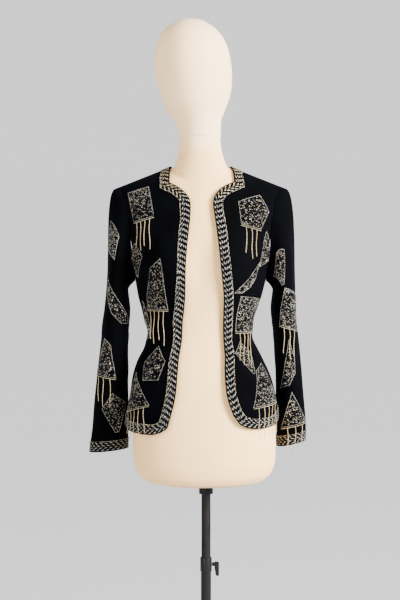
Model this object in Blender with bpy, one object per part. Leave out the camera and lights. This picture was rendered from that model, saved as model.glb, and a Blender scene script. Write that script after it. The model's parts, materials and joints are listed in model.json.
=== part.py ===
"""A beaded velvet jacket on a limbless dress form, in metres, with +Z up.

The origin is the middle of the underside of the base plate. The front faces -Y, so the
wearer's right is at -X. Every place on the cloth is given by two numbers: on the body an
angle round it (0 at the front, 90 degrees at the wearer's left side) and a height measured
along the cloth, on a sleeve an angle round it (0 next to the body, 90 degrees in front) and
a height.
"""

from collections import namedtuple
from functools import partial

import bmesh
import bpy
import numpy as np

# Cloth and what lies on it
WALL = 0.0018
SEAM_GAP = 0.0003
SLEEVE_GAP = 0.0009
LIFT = 0.0004
TRIM_THICKNESS = 0.0014
PATCH_THICKNESS = 0.0013
BAND = 0.024
NECK_BAND = 0.026

# Body shape above the underarm, where each line of the cloth runs up to the shoulder ridge
UNDERARM_Z = 1.130
YOKE_LENGTH = 0.300
ROUNDNESS = 0.90
BODY_RADIUS = 0.16
CHEST_FALL = 1.2
BACK_FALL = 0.8
RIDGE_SLOPE = 0.395
BUST_SIDE = 0.082
BUST_Z = 1.165
BUST_WIDTH = 0.052
BUST_HEIGHT = 0.060

# Rows of each panel up the side seam and the armhole, and cells along the shoulder seam.
# A front has its columns from front edge to side, and the back from its middle to each side.
SIDE_ROWS = 9
ARMHOLE_ROWS = 10
SHOULDER_CELLS = 5
BACK_COLUMNS = 6
CHEST_ROWS = 4
ROUND_ROWS = 4
ROUND_START = 1.253
ARMHOLE_FRONT = np.radians(27.0)
ARMHOLE_EASE = 1.3
ARMHOLE_BACK = np.radians(20.0)
NECK_HALF = 0.071
NECK_BACK_DEPTH = 0.060
NECK_FALL_ROWS = 0.030

# A sleeve's cap runs from the armhole to the first ring, with rows at these shares of the way
CAP_STEPS = (0.0, 0.09, 0.22, 0.40, 0.62, 0.82)
CAP_LENGTH = 0.245
CAP_PUFF = 0.30
CAP_PUFF_LEAST = 0.010

# Bead fringe
STRAND = 0.0011
STRAND_CLEAR = 0.0034
STRAND_STEPS = 4
STRAND_UNEVEN = 0.22
HEADER_GAP = 0.0006
HEADER_GAP_ROUND = 0.0014
HEADER_THICKNESS = 0.0018
HEADER_HEIGHT = 0.003
HEADER_DROP = 0.0015

# Stand
POLE_RADIUS = 0.011
POLE_TOP = 0.6402
POLE_BOTTOM = 0.185
TUBE_RADIUS = 0.01235
BORE_RADIUS = 0.0116
TUBE_TOP = 0.466
CLAMP_RADIUS = 0.0140
CLAMP_HEIGHT = 0.034
LEVER_Z = 0.449
BASE_RADIUS = 0.160
BASE_THICKNESS = 0.010
FORM_BOTTOM = 0.646
FLANGE_RADIUS = 0.045
FLANGE_THICKNESS = 0.005
SOCKET_RADIUS = 0.017
SOCKET_DEPTH = 0.022
SEAT_GAP = 0.0003
HEAD_SEAM_Z = 1.468
FORM_SIDES = 32
FORM_CHEST_TURNS = (14, 28, 42, 55, 66, 75, 82)
NECK_SIDES = 28

Section = namedtuple("Section", "z half_width front back centre_x")
Body = namedtuple("Body", "sections shoulder_half ridge_z bust")
Edge = namedtuple("Edge", "z x")
Hem = namedtuple("Hem", "angle z")
Ring = namedtuple("Ring", "z inner_x outer_x middle_y half_y tilt")
Crease = namedtuple("Crease", "angle z half_angle half_height depth")
Side = namedtuple("Side", "name sign edge hem rings")
Grid = namedtuple("Grid", "domain points normals")
Patch = namedtuple("Patch", "host angle z shape width height turn strands hang")
Mark = namedtuple("Mark", "length angle height")
Turned = namedtuple("Turned", "radius z")
Wing = namedtuple("Wing", "x radius reach")
Oval = namedtuple("Oval", "z half_x half_y centre_x centre_y")

CLOTH = Body(
    sections=(
        Section(0.740, 0.1850, 0.128, 0.130, -0.0090),
        Section(0.800, 0.1830, 0.124, 0.128, -0.0095),
        Section(0.862, 0.1745, 0.118, 0.122, -0.0085),
        Section(0.903, 0.1655, 0.112, 0.114, -0.0110),
        Section(0.940, 0.1510, 0.104, 0.104, -0.0135),
        Section(0.990, 0.1300, 0.094, 0.090, -0.0145),
        Section(1.040, 0.1335, 0.098, 0.088, -0.0160),
        Section(1.097, 0.1490, 0.108, 0.096, -0.0145),
        Section(1.130, 0.1560, 0.112, 0.101, -0.0130),
    ),
    shoulder_half=0.203,
    ridge_z=1.4027,
    bust=0.020,
)
FORM = Body(
    sections=(
        Section(0.646, 0.1120, 0.078, 0.082, -0.0040),
        Section(0.650, 0.1300, 0.090, 0.094, -0.0040),
        Section(0.661, 0.1500, 0.103, 0.107, -0.0040),
        Section(0.683, 0.1650, 0.112, 0.116, -0.0040),
        Section(0.719, 0.1700, 0.116, 0.120, -0.0040),
        Section(0.771, 0.1710, 0.115, 0.119, -0.0050),
        Section(0.862, 0.1620, 0.107, 0.111, -0.0070),
        Section(0.903, 0.1520, 0.102, 0.104, -0.0090),
        Section(0.940, 0.1380, 0.094, 0.094, -0.0120),
        Section(0.990, 0.1200, 0.085, 0.081, -0.0140),
        Section(1.040, 0.1230, 0.088, 0.079, -0.0150),
        Section(1.097, 0.1370, 0.097, 0.087, -0.0145),
        Section(1.130, 0.1440, 0.102, 0.092, -0.0130),
    ),
    shoulder_half=0.186,
    ridge_z=1.3986,
    bust=0.019,
)
CREASES = (
    Crease(-78.0, 1.010, 34.0, 0.016, 0.0040),
    Crease(-100.0, 0.965, 30.0, 0.018, 0.0035),
    Crease(74.0, 0.995, 32.0, 0.017, 0.0040),
    Crease(104.0, 1.035, 28.0, 0.016, 0.0035),
    Crease(180.0, 1.000, 40.0, 0.020, 0.0045),
    Crease(-140.0, 1.045, 26.0, 0.018, 0.0035),
    Crease(142.0, 0.955, 28.0, 0.018, 0.0035),
)
RIGHT = Side(
    name="right",
    sign=-1.0,
    edge=(
        Edge(0.7905, -0.0887),
        Edge(0.8027, -0.0852),
        Edge(0.8450, -0.0739),
        Edge(0.8950, -0.0671),
        Edge(0.9655, -0.0600),
        Edge(1.0114, -0.0555),
        Edge(1.0830, -0.0483),
        Edge(1.1366, -0.0470),
        Edge(1.2228, -0.0419),
        Edge(1.2937, -0.0359),
        Edge(1.3165, -0.0376),
        Edge(1.3385, -0.0541),
        Edge(1.3536, -0.0747),
        Edge(1.3591, -0.0866),
    ),
    hem=(
        Hem(20.0, 0.7925),
        Hem(24.5, 0.7850),
        Hem(33.0, 0.7740),
        Hem(45.0, 0.7725),
        Hem(65.0, 0.7760),
        Hem(90.0, 0.7880),
        Hem(130.0, 0.7930),
        Hem(180.0, 0.7950),
    ),
    rings=(
        Ring(0.717, -0.1905, -0.2840, 0.046, 0.034, -0.005),
        Ring(0.742, -0.1895, -0.2820, 0.045, 0.036, -0.004),
        Ring(0.774, -0.1890, -0.2775, 0.043, 0.039, -0.002),
        Ring(0.810, -0.1890, -0.2745, 0.039, 0.042, 0.0),
        Ring(0.849, -0.1885, -0.2710, 0.034, 0.045, 0.0),
        Ring(0.885, -0.1890, -0.2665, 0.030, 0.048, 0.0),
        Ring(0.917, -0.1875, -0.2630, 0.026, 0.051, 0.0),
        Ring(0.952, -0.1885, -0.2580, 0.022, 0.053, 0.0),
        Ring(0.987, -0.1865, -0.2535, 0.018, 0.056, 0.0),
        Ring(1.022, -0.1850, -0.2510, 0.015, 0.058, 0.0),
        Ring(1.061, -0.1825, -0.2450, 0.012, 0.060, 0.0),
        Ring(1.105, -0.1870, -0.2400, 0.008, 0.063, 0.0),
    ),
)
LEFT = Side(
    name="left",
    sign=1.0,
    edge=(
        Edge(0.7990, 0.0759),
        Edge(0.8065, 0.0692),
        Edge(0.8340, 0.0555),
        Edge(0.8657, 0.0467),
        Edge(0.9054, 0.0431),
        Edge(0.9724, 0.0416),
        Edge(1.0645, 0.0403),
        Edge(1.1366, 0.0353),
        Edge(1.1999, 0.0287),
        Edge(1.2462, 0.0242),
        Edge(1.2931, 0.0166),
        Edge(1.3164, 0.0167),
        Edge(1.3332, 0.0247),
        Edge(1.3484, 0.0411),
        Edge(1.3615, 0.0670),
    ),
    hem=(
        Hem(20.0, 0.8030),
        Hem(26.0, 0.7950),
        Hem(34.0, 0.7875),
        Hem(48.0, 0.7855),
        Hem(64.0, 0.7890),
        Hem(90.0, 0.8060),
        Hem(130.0, 0.8020),
        Hem(180.0, 0.7950),
    ),
    rings=(
        Ring(0.733, 0.1738, 0.2444, 0.060, 0.044, 0.008),
        Ring(0.758, 0.1730, 0.2455, 0.058, 0.044, 0.006),
        Ring(0.785, 0.1718, 0.2455, 0.055, 0.045, 0.002),
        Ring(0.820, 0.1712, 0.2425, 0.051, 0.047, 0.0),
        Ring(0.850, 0.1708, 0.2395, 0.047, 0.049, 0.0),
        Ring(0.885, 0.1702, 0.2360, 0.041, 0.050, 0.0),
        Ring(0.915, 0.1690, 0.2330, 0.035, 0.052, 0.0),
        Ring(0.950, 0.1660, 0.2290, 0.029, 0.054, 0.0),
        Ring(0.992, 0.1629, 0.2240, 0.022, 0.057, 0.0),
        Ring(1.030, 0.1590, 0.2190, 0.017, 0.059, 0.0),
        Ring(1.065, 0.1560, 0.2170, 0.013, 0.060, 0.0),
        Ring(1.105, 0.1600, 0.2150, 0.009, 0.060, 0.0),
    ),
)
NECK = (
    Oval(1.330, 0.078, 0.050, -0.0120, 0.000),
    Oval(1.375, 0.072, 0.055, -0.0120, -0.002),
    Oval(1.395, 0.0655, 0.055, -0.0125, -0.004),
    Oval(1.420, 0.0560, 0.052, -0.0130, -0.006),
    Oval(1.445, 0.0505, 0.050, -0.0140, -0.008),
    Oval(HEAD_SEAM_Z, 0.0485, 0.049, -0.0145, -0.009),
)
HEAD = (
    Oval(1.4683, 0.0495, 0.050, -0.0140, -0.009),
    Oval(1.4810, 0.0500, 0.052, -0.0150, -0.009),
    Oval(1.4970, 0.0525, 0.056, -0.0172, -0.010),
    Oval(1.5140, 0.0580, 0.064, -0.0210, -0.011),
    Oval(1.5340, 0.0690, 0.077, -0.0245, -0.012),
    Oval(1.5700, 0.0834, 0.095, -0.0260, -0.012),
    Oval(1.6130, 0.0910, 0.105, -0.0290, -0.012),
    Oval(1.6490, 0.0918, 0.107, -0.0325, -0.012),
    Oval(1.6900, 0.0840, 0.099, -0.0350, -0.012),
    Oval(1.7150, 0.0710, 0.084, -0.0365, -0.012),
    Oval(1.7360, 0.0480, 0.057, -0.0378, -0.012),
    Oval(1.7470, 0.0230, 0.027, -0.0370, -0.012),
    Oval(1.7500, 0.0060, 0.007, -0.0365, -0.012),
)

LEVER_SIDES = 16
LEVER = (
    Wing(0.0, 0.0045, 0.0),
    Wing(0.006, 0.0045, 0.0),
    Wing(0.0062, 0.0060, 0.004),
    Wing(0.009, 0.0065, 0.020),
    Wing(0.015, 0.0060, 0.024),
    Wing(0.017, 0.0045, 0.020),
)

# Outlines of the patches in shares of their width and height. The first two points are the
# lower edge, from which a fringe hangs.
SHAPES = {
    "slab": ((-0.50, -0.42), (0.42, -0.50), (0.50, 0.36), (-0.38, 0.50)),
    "wedge": ((-0.50, -0.50), (0.50, -0.44), (0.26, 0.50), (-0.12, 0.34)),
    "spear": ((-0.50, -0.50), (0.50, -0.34), (-0.16, 0.50)),
    "gem": ((-0.32, -0.50), (0.34, -0.46), (0.50, 0.08), (0.02, 0.50), (-0.50, 0.02)),
    "kite": ((-0.06, -0.50), (0.08, -0.50), (0.50, 0.14), (0.06, 0.50), (-0.50, 0.20)),
    "leaf": ((-0.50, -0.50), (-0.04, -0.46), (0.34, -0.22), (0.50, 0.12), (0.44, 0.50)),
}
PATCHES = (
    Patch("front_right", -47.0, 1.292, "slab", 0.062, 0.088, 8.0, 4, 0.070),
    Patch("front_right", -66.0, 1.168, "kite", 0.057, 0.082, -10.0, 0, 0.0),
    Patch("front_right", -42.0, 1.112, "wedge", 0.074, 0.114, -6.0, 4, 0.078),
    Patch("front_right", -72.0, 1.035, "leaf", 0.043, 0.094, 12.0, 0, 0.0),
    Patch("front_right", -44.0, 0.935, "gem", 0.062, 0.085, 0.0, 0, 0.0),
    Patch("front_right", -61.0, 0.868, "spear", 0.083, 0.093, 4.0, 5, 0.062),
    Patch("front_left", 41.0, 1.268, "gem", 0.080, 0.088, -6.0, 3, 0.072),
    Patch("front_left", 66.0, 1.192, "spear", 0.059, 0.083, 10.0, 0, 0.0),
    Patch("front_left", 43.0, 1.130, "leaf", 0.046, 0.099, -14.0, 0, 0.0),
    Patch("front_left", 56.0, 1.050, "slab", 0.077, 0.094, 6.0, 4, 0.074),
    Patch("front_left", 44.5, 0.948, "kite", 0.046, 0.081, 8.0, 0, 0.0),
    Patch("front_left", 57.0, 0.885, "wedge", 0.086, 0.103, 2.0, 5, 0.072),
    Patch("sleeve_right", 128.0, 1.215, "slab", 0.057, 0.082, 10.0, 0, 0.0),
    Patch("sleeve_right", 78.0, 1.080, "leaf", 0.057, 0.122, -8.0, 0, 0.0),
    Patch("sleeve_right", 112.0, 0.945, "wedge", 0.062, 0.097, 4.0, 3, 0.070),
    Patch("sleeve_right", 70.0, 0.812, "kite", 0.065, 0.099, -6.0, 0, 0.0),
    Patch("sleeve_right", 250.0, 0.990, "gem", 0.065, 0.085, 0.0, 0, 0.0),
    Patch("sleeve_left", 68.0, 1.190, "kite", 0.060, 0.088, 8.0, 0, 0.0),
    Patch("sleeve_left", 112.0, 1.062, "slab", 0.060, 0.099, -6.0, 3, 0.072),
    Patch("sleeve_left", 72.0, 0.930, "leaf", 0.054, 0.116, 10.0, 0, 0.0),
    Patch("sleeve_left", 104.0, 0.818, "spear", 0.068, 0.091, -4.0, 3, 0.078),
    Patch("sleeve_left", 255.0, 1.010, "wedge", 0.062, 0.091, 6.0, 0, 0.0),
    Patch("back", 146.0, 1.268, "slab", 0.080, 0.099, -8.0, 4, 0.072),
    Patch("back", -150.0, 1.205, "gem", 0.071, 0.094, 6.0, 0, 0.0),
    Patch("back", 176.0, 1.085, "wedge", 0.082, 0.116, 4.0, 4, 0.078),
    Patch("back", 132.0, 1.000, "leaf", 0.051, 0.114, -10.0, 0, 0.0),
    Patch("back", -142.0, 0.925, "spear", 0.097, 0.111, 0.0, 5, 0.070),
    Patch("back", 160.0, 0.885, "kite", 0.065, 0.105, 8.0, 0, 0.0),
)

VELVET = (0.006, 0.006, 0.010)
SILVER_BEADS = (0.42, 0.39, 0.32)
GOLD_BEADS = (0.55, 0.42, 0.22)
JERSEY = (0.80, 0.74, 0.62)
WORN_STEEL = (0.09, 0.08, 0.075)
BLACK_STEEL = (0.02, 0.02, 0.022)


def clear_scene():
    """An empty scene."""
    for old in list(bpy.data.objects):
        bpy.data.objects.remove(old, do_unlink=True)


def material(name, colour, roughness, metallic):
    """A plain finish."""
    made = bpy.data.materials.new(name)
    made.use_nodes = True
    shader = made.node_tree.nodes["Principled BSDF"]
    shader.inputs["Base Color"].default_value = (*colour, 1.0)
    shader.inputs["Roughness"].default_value = roughness
    shader.inputs["Metallic"].default_value = metallic
    return made


def add_piece(name, points, faces, finish, sharp=40.0):
    """One closed solid, its faces turned outwards and its round faces shaded smooth."""
    mesh = bpy.data.meshes.new(name)
    mesh.from_pydata([tuple(point) for point in points], [], faces)
    work = bmesh.new()
    work.from_mesh(mesh)
    loose = [vertex for vertex in work.verts if not vertex.link_faces]
    bmesh.ops.delete(work, geom=loose, context="VERTS")
    bmesh.ops.recalc_face_normals(work, faces=work.faces)
    if work.calc_volume(signed=True) < 0:
        bmesh.ops.reverse_faces(work, faces=work.faces)
    work.to_mesh(mesh)
    work.free()
    mesh.shade_smooth()
    mesh.set_sharp_from_angle(angle=np.radians(sharp))
    mesh.materials.append(finish)
    made = bpy.data.objects.new(name, mesh)
    bpy.context.scene.collection.objects.link(made)
    return made


def smooth(rows, key, name, at):
    """A column of a table at a value of its key, on a smooth curve through the rows."""
    keys = np.array([getattr(row, key) for row in rows])
    values = np.array([getattr(row, name) for row in rows])
    slopes = np.gradient(values, keys)
    at = np.clip(at, keys[0], keys[-1])
    k = np.clip(np.searchsorted(keys, at) - 1, 0, len(keys) - 2)
    span = keys[k + 1] - keys[k]
    t = (at - keys[k]) / span
    start = values[k] * (1 + 2 * t) + slopes[k] * span * t
    end = values[k + 1] * (3 - 2 * t) - slopes[k + 1] * span * (1 - t)
    return start * (1 - t) ** 2 + end * t**2


def signed_power(value, power):
    """A power that keeps the value's sign."""
    return np.sign(value) * np.abs(value) ** power


def ridge_height(body, across):
    """Height of the shoulder ridge at a distance from the middle."""
    return body.ridge_z - RIDGE_SLOPE * (np.abs(across) - NECK_HALF)


def half_width(body, height, rise):
    """Half the body's width, which grows from the underarm to the shoulder."""
    low = smooth(body.sections, "z", "half_width", np.minimum(height, UNDERARM_Z))
    return low + (body.shoulder_half - low) * rise


def body_depth(body, across, height, rise, front):
    """How far the front or back stands off the middle, before its roundness."""
    level = np.minimum(height, UNDERARM_Z)
    chest = smooth(body.sections, "z", "front", level)
    back = smooth(body.sections, "z", "back", level)
    fall = np.sqrt(np.clip(1 - rise**2, 0, 1))
    return np.where(front, chest * fall**CHEST_FALL, back * fall**BACK_FALL)


def bust(body, across, z):
    """How far the bust stands forward of the chest."""
    side = (np.abs(across) - BUST_SIDE) / BUST_WIDTH
    return body.bust * np.exp(-(side**2) - ((z - BUST_Z) / BUST_HEIGHT) ** 2)


def torso(body, at):
    """The body's surface at (angle, height along the cloth)."""
    angle, height = at[..., 0], at[..., 1]
    turn = np.clip((height - UNDERARM_Z) / YOKE_LENGTH, 0, 1) * np.pi / 2
    rise = np.sin(turn)
    across = half_width(body, height, rise) * signed_power(np.sin(angle), ROUNDNESS)
    top = ridge_height(body, across)
    z = np.where(height < UNDERARM_Z, height, UNDERARM_Z + (top - UNDERARM_Z) * rise)
    forward = signed_power(np.cos(angle), ROUNDNESS)
    depth = body_depth(body, across, height, rise, forward > 0)
    y = -depth * forward - np.where(forward > 0, bust(body, across, z) * forward, 0.0)
    middle = smooth(body.sections, "z", "centre_x", np.minimum(height, UNDERARM_Z))
    return np.stack([middle + across, y, z], axis=-1)


def cloth(at):
    """The jacket body's outer surface: the body with its deepest creases pressed in."""
    points = torso(CLOTH, at)
    angle = at[..., 0]
    for crease in CREASES:
        away = np.angle(np.exp(1j * (angle - np.radians(crease.angle))))
        share = (away / np.radians(crease.half_angle)) ** 2
        share = share + ((points[..., 2] - crease.z) / crease.half_height) ** 2
        press = crease.depth * np.exp(-share)
        points[..., 0] -= press * np.sin(angle)
        points[..., 1] += press * np.cos(angle)
    return points


def cloth_place(x, z):
    """The (angle, height along the cloth) of the front at a place seen from the front."""
    middle = smooth(CLOTH.sections, "z", "centre_x", np.minimum(z, UNDERARM_Z))
    across = x - middle
    top = ridge_height(CLOTH, across)
    rise = np.clip((z - UNDERARM_Z) / (top - UNDERARM_Z), 0, 1)
    height = np.where(z < UNDERARM_Z, z, UNDERARM_Z + YOKE_LENGTH * np.arcsin(rise) * 2 / np.pi)
    share = np.clip(across / half_width(CLOTH, height, rise), -1, 1)
    return np.stack([np.arcsin(signed_power(share, 1 / ROUNDNESS)), height], axis=-1)


def slopes(surface, at):
    """How the surface moves with each of the two numbers that give a place on it."""
    step = 1e-4
    moves = [np.array([step, 0.0]), np.array([0.0, step])]
    return np.stack([(surface(at + m) - surface(at - m)) / (2 * step) for m in moves], axis=-1)


def step_aside(surface, edge, width):
    """An edge moved sideways by a width that is measured on the surface, mitred where it turns."""
    steps = np.diff(surface(edge), axis=0)
    steps /= np.linalg.norm(steps, axis=1, keepdims=True)
    run = np.concatenate([steps[:1], steps[1:] + steps[:-1], steps[-1:]])
    run[1:-1] /= 2
    mitre = 1 / np.linalg.norm(run, axis=1, keepdims=True)
    frame = slopes(surface, edge)
    out = np.cross(frame[..., 0], frame[..., 1])
    out /= np.linalg.norm(out, axis=1, keepdims=True)
    aside = np.cross(out, run * mitre) * mitre * np.reshape(width, (-1, 1))
    square = np.einsum("nij,nik->njk", frame, frame)
    push = np.einsum("nij,ni->nj", frame, aside)
    return edge + np.linalg.solve(square, push[..., None])[..., 0]


def spread(line, lengths, wanted):
    """The points of a line at the wanted lengths along it, on a smooth curve."""
    rows = [Mark(length, *point) for length, point in zip(lengths, line)]
    columns = [smooth(rows, "length", name, wanted) for name in ("angle", "height")]
    return np.stack(columns, axis=-1)


def run_lengths(surface, line):
    """Length along the surface to each point of a line."""
    steps = np.linalg.norm(np.diff(surface(line), axis=0), axis=1)
    return np.concatenate([[0.0], np.cumsum(steps)])


def stages(*stops):
    """Even steps from each stop to the next, for stops given as (value, cells before it)."""
    values = [np.array([stops[0][0]])]
    for (start, _), (end, cells) in zip(stops, stops[1:]):
        values.append(np.linspace(start, end, cells + 1)[1:])
    return np.concatenate(values)


def hem_line(side, angles):
    """The hem between two angles, which are measured from the middle of the front."""
    z = smooth(side.hem, "angle", "z", np.degrees(angles))
    return np.stack([side.sign * angles, z], axis=-1)


def back_place(across, depth):
    """The places on the back at distances beside and behind the middle, above the underarm."""
    low, high = np.zeros_like(across), np.ones_like(across)
    at = np.full_like(across, UNDERARM_Z)
    for _ in range(40):
        turn = (low + high) / 2 * np.pi / 2
        rise = np.sin(turn)
        share = np.clip(across / half_width(CLOTH, at, rise), 0, 1)
        angle = np.arcsin(share ** (1 / ROUNDNESS))
        reach = body_depth(CLOTH, across, at, rise, False) * np.cos(angle) ** ROUNDNESS
        half = (low + high) / 2
        low, high = np.where(reach > depth, half, low), np.where(reach > depth, high, half)
    return np.stack([np.pi - angle, UNDERARM_Z + YOKE_LENGTH * (low + high) / 2], axis=-1)


def neck_angle():
    """The angle at which the ridge meets the side of the neck."""
    return np.arcsin((NECK_HALF / CLOTH.shoulder_half) ** (1 / ROUNDNESS))


def outer_side(side, back):
    """Side seam and armhole as places on the body, one for each row."""
    hem_z = float(smooth(side.hem, "angle", "z", 90.0))
    seam = stages((hem_z, 0), (hem_z + BAND, 1), (UNDERARM_Z, SIDE_ROWS))
    climb = np.linspace(0, 1, ARMHOLE_ROWS + 1)[1:] ** ARMHOLE_EASE
    scoop = (ARMHOLE_BACK if back else ARMHOLE_FRONT) * np.sin(np.pi * climb) ** 0.7
    angle = np.pi / 2 - np.concatenate([np.zeros_like(seam), scoop])
    height = np.concatenate([seam, UNDERARM_Z + YOKE_LENGTH * climb])
    return np.stack([side.sign * (np.pi - angle if back else angle), height], axis=-1)


def shoulder_seam(side, back):
    """The shoulder seam from the neck, with one cell as wide as the beaded band."""
    ridge = np.linspace(neck_angle(), np.pi / 2, 200)
    top = np.stack([ridge, np.full_like(ridge, UNDERARM_Z + YOKE_LENGTH)], axis=-1)
    lengths = run_lengths(cloth, top)
    stops = stages((0.0, 0), (NECK_BAND, 1), (lengths[-1], SHOULDER_CELLS))
    angle = np.interp(stops, lengths, ridge)
    height = np.full_like(angle, UNDERARM_Z + YOKE_LENGTH)
    return np.stack([side.sign * (np.pi - angle if back else angle), height], axis=-1)


def front_edge(side):
    """The front edge, from the hem's corner round to the corner of the neck and the shoulder."""
    x = np.array([mark.x for mark in side.edge])
    z = np.array([mark.z for mark in side.edge])
    line = cloth_place(x, z)
    lengths = run_lengths(cloth, line)
    dense = spread(line, lengths, np.linspace(0, lengths[-1], 400))
    lengths = run_lengths(cloth, dense)
    underarm, start = np.interp([UNDERARM_Z, ROUND_START], dense[:, 1], lengths)
    stops = stages(
        (0.0, 0),
        (BAND, 1),
        (underarm, SIDE_ROWS),
        (start, CHEST_ROWS),
        (lengths[-1], ROUND_ROWS),
    )
    front = spread(dense, lengths, stops)
    beside_neck = np.linspace(0, 1, ARMHOLE_ROWS - CHEST_ROWS - ROUND_ROWS + 1)[1:, None]
    neck_point = shoulder_seam(side, back=False)[0]
    return np.concatenate([front, front[-1] * (1 - beside_neck) + neck_point * beside_neck])


def edge_shares(*edges):
    """The share of an edge's length at each of its points, as a mean over the given edges."""
    runs = []
    for edge in edges:
        steps = np.linalg.norm(np.diff(edge * [BODY_RADIUS, 1.0], axis=0), axis=1)
        runs.append(np.concatenate([[0.0], np.cumsum(steps)]) / steps.sum())
    return sum(runs) / len(runs)


def fill(left, right, bottom, top):
    """A grid between four edges, by blending the edges that face each other."""
    up = edge_shares(left, right)[:, None, None]
    over = edge_shares(bottom, top)[None, :, None]
    sides = (1 - over) * left[:, None] + over * right[:, None]
    ends = (1 - up) * bottom[None] + up * top[None]
    corners = (1 - up) * ((1 - over) * bottom[0] + over * bottom[-1])
    corners = corners + up * ((1 - over) * top[0] + over * top[-1])
    return sides + ends - corners


def grid_normals(points, wrap=False):
    """Outward directions at the points of a grid, from its own rows and columns."""
    wide = np.concatenate([points[:, -1:], points, points[:, :1]], axis=1) if wrap else points
    over = np.gradient(wide, axis=1)[:, 1:-1] if wrap else np.gradient(wide, axis=1)
    normals = np.cross(over, np.gradient(points, axis=0))
    return normals / np.linalg.norm(normals, axis=-1, keepdims=True)


def flatten(normals, where):
    """Along a side or shoulder seam both pieces share one direction, with no part along Y."""
    normals[where + (1,)] = 0.0
    normals[where] /= np.linalg.norm(normals[where], axis=-1, keepdims=True)


def pull_in(points, where, beside):
    """Moves a seam's points back by half of the gap between two pieces, and a little more."""
    step = points[beside] - points[where]
    points[where] += step / np.linalg.norm(step, axis=-1, keepdims=True) * SEAM_GAP * 0.75


def front_panel(side):
    """The grid of a front: its first column is the edge, its last row the shoulder seam."""
    inner, outer = front_edge(side), outer_side(side, back=False)
    top = shoulder_seam(side, back=False)
    start = abs(inner[0, 0])
    corner = BAND / CLOTH.sections[0].half_width
    angles = stages((start, 0), (start + corner, 1), (np.pi / 2, SHOULDER_CELLS))
    hem = hem_line(side, angles)
    hem[0] = inner[0]
    places = np.zeros((len(inner), len(hem), 2))
    places[:, 0], places[:, -1], places[0], places[-1] = inner, outer, hem, top
    places[1, 1:-1] = hem[1:-1] + [0.0, BAND]
    widths = np.linspace(BAND, NECK_BAND, len(inner))
    places[1:-1, 1] = step_aside(cloth, inner, -widths * side.sign)[1:-1]
    places[1, 1] = inner[1] + hem[1] - hem[0]
    block = places[1:, 1:]
    places[1:, 1:] = fill(block[:, 0], block[:, -1], block[0], block[-1])
    points = cloth(places)
    normals = grid_normals(points) * side.sign
    seam_rows = slice(0, SIDE_ROWS + 2)
    flatten(normals, (seam_rows, -1))
    flatten(normals, (-1, slice(None)))
    pull_in(points, (seam_rows, -1), (seam_rows, -2))
    pull_in(points, (-1, slice(None)), (-2, slice(None)))
    return Grid(places, points, normals)


def half_back(side):
    """The places of half of the back, from its middle to a side, armhole and shoulder seam."""
    outer = np.concatenate([outer_side(side, back=True), shoulder_seam(side, back=True)[-2::-1]])
    turn = np.linspace(0, np.pi / 2, BACK_COLUMNS + 1)
    neck = back_place(NECK_HALF * np.sin(turn), NECK_BACK_DEPTH * np.cos(turn))
    neck[:, 0] *= side.sign
    neck[-1] = outer[-1]
    hem = hem_line(side, np.linspace(np.pi, np.pi / 2, BACK_COLUMNS + 1))
    start, end = hem[0, 1], neck[0, 1]
    levels = stages(
        (start, 0),
        (start + BAND, 1),
        (UNDERARM_Z, SIDE_ROWS),
        (end - NECK_BAND - NECK_FALL_ROWS, ARMHOLE_ROWS),
        (end - NECK_BAND, SHOULDER_CELLS),
        (end, 1),
    )
    inner = np.stack([np.full_like(levels, side.sign * np.pi), levels], axis=-1)
    places = np.zeros((len(inner), len(hem), 2))
    places[:, 0], places[:, -1], places[0], places[-1] = inner, outer, hem, neck
    share = np.linspace(0, 1, BACK_COLUMNS + 1)[1:-1, None]
    places[1, 1:-1] = hem[1:-1] + [0.0, BAND]
    fall = (1 - share) * (inner[-2] - inner[-1]) + share * (outer[-2] - outer[-1])
    places[-2, 1:-1] = neck[1:-1] + fall
    block = places[1:-1]
    places[1:-1] = fill(block[:, 0], block[:, -1], block[0], block[-1])
    return places


def back_panel():
    """The grid of the back, from the wearer's left side seam to the right one."""
    left, right = half_back(LEFT), half_back(RIGHT)
    right[..., 0] += 2 * np.pi
    places = np.concatenate([left[:, ::-1], right[:, 1:]], axis=1)
    points = cloth(places)
    normals = grid_normals(points)
    armhole_end = SIDE_ROWS + ARMHOLE_ROWS + 1
    for column, beside in ((0, 1), (-1, -2)):
        for rows in (slice(0, SIDE_ROWS + 2), slice(armhole_end, None)):
            flatten(normals, (rows, column))
            pull_in(points, (rows, column), (rows, beside))
    return Grid(places, points, normals)


def armhole_loop(side, front, back):
    """The armhole, from the underarm up the front and down the back."""
    rows = slice(SIDE_ROWS + 1, SIDE_ROWS + ARMHOLE_ROWS + 2)
    column = 0 if side.sign > 0 else -1
    return np.concatenate([front.points[rows, -1][:-1], back.points[rows, column][:0:-1]])


def ring_points(side, rows, turns):
    """Level ovals of a sleeve, a row of points for each of the given heights."""
    value = {name: smooth(side.rings, "z", name, rows)[:, None] for name in Ring._fields[1:]}
    middle = (value["inner_x"] + value["outer_x"]) / 2
    reach = np.abs(value["outer_x"] - value["inner_x"]) / 2
    x = middle - side.sign * reach * np.cos(turns)
    y = value["middle_y"] - value["half_y"] * np.sin(turns)
    z = rows[:, None] - value["tilt"] * np.cos(turns)
    return np.stack(np.broadcast_arrays(x, y, z), axis=-1)


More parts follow.
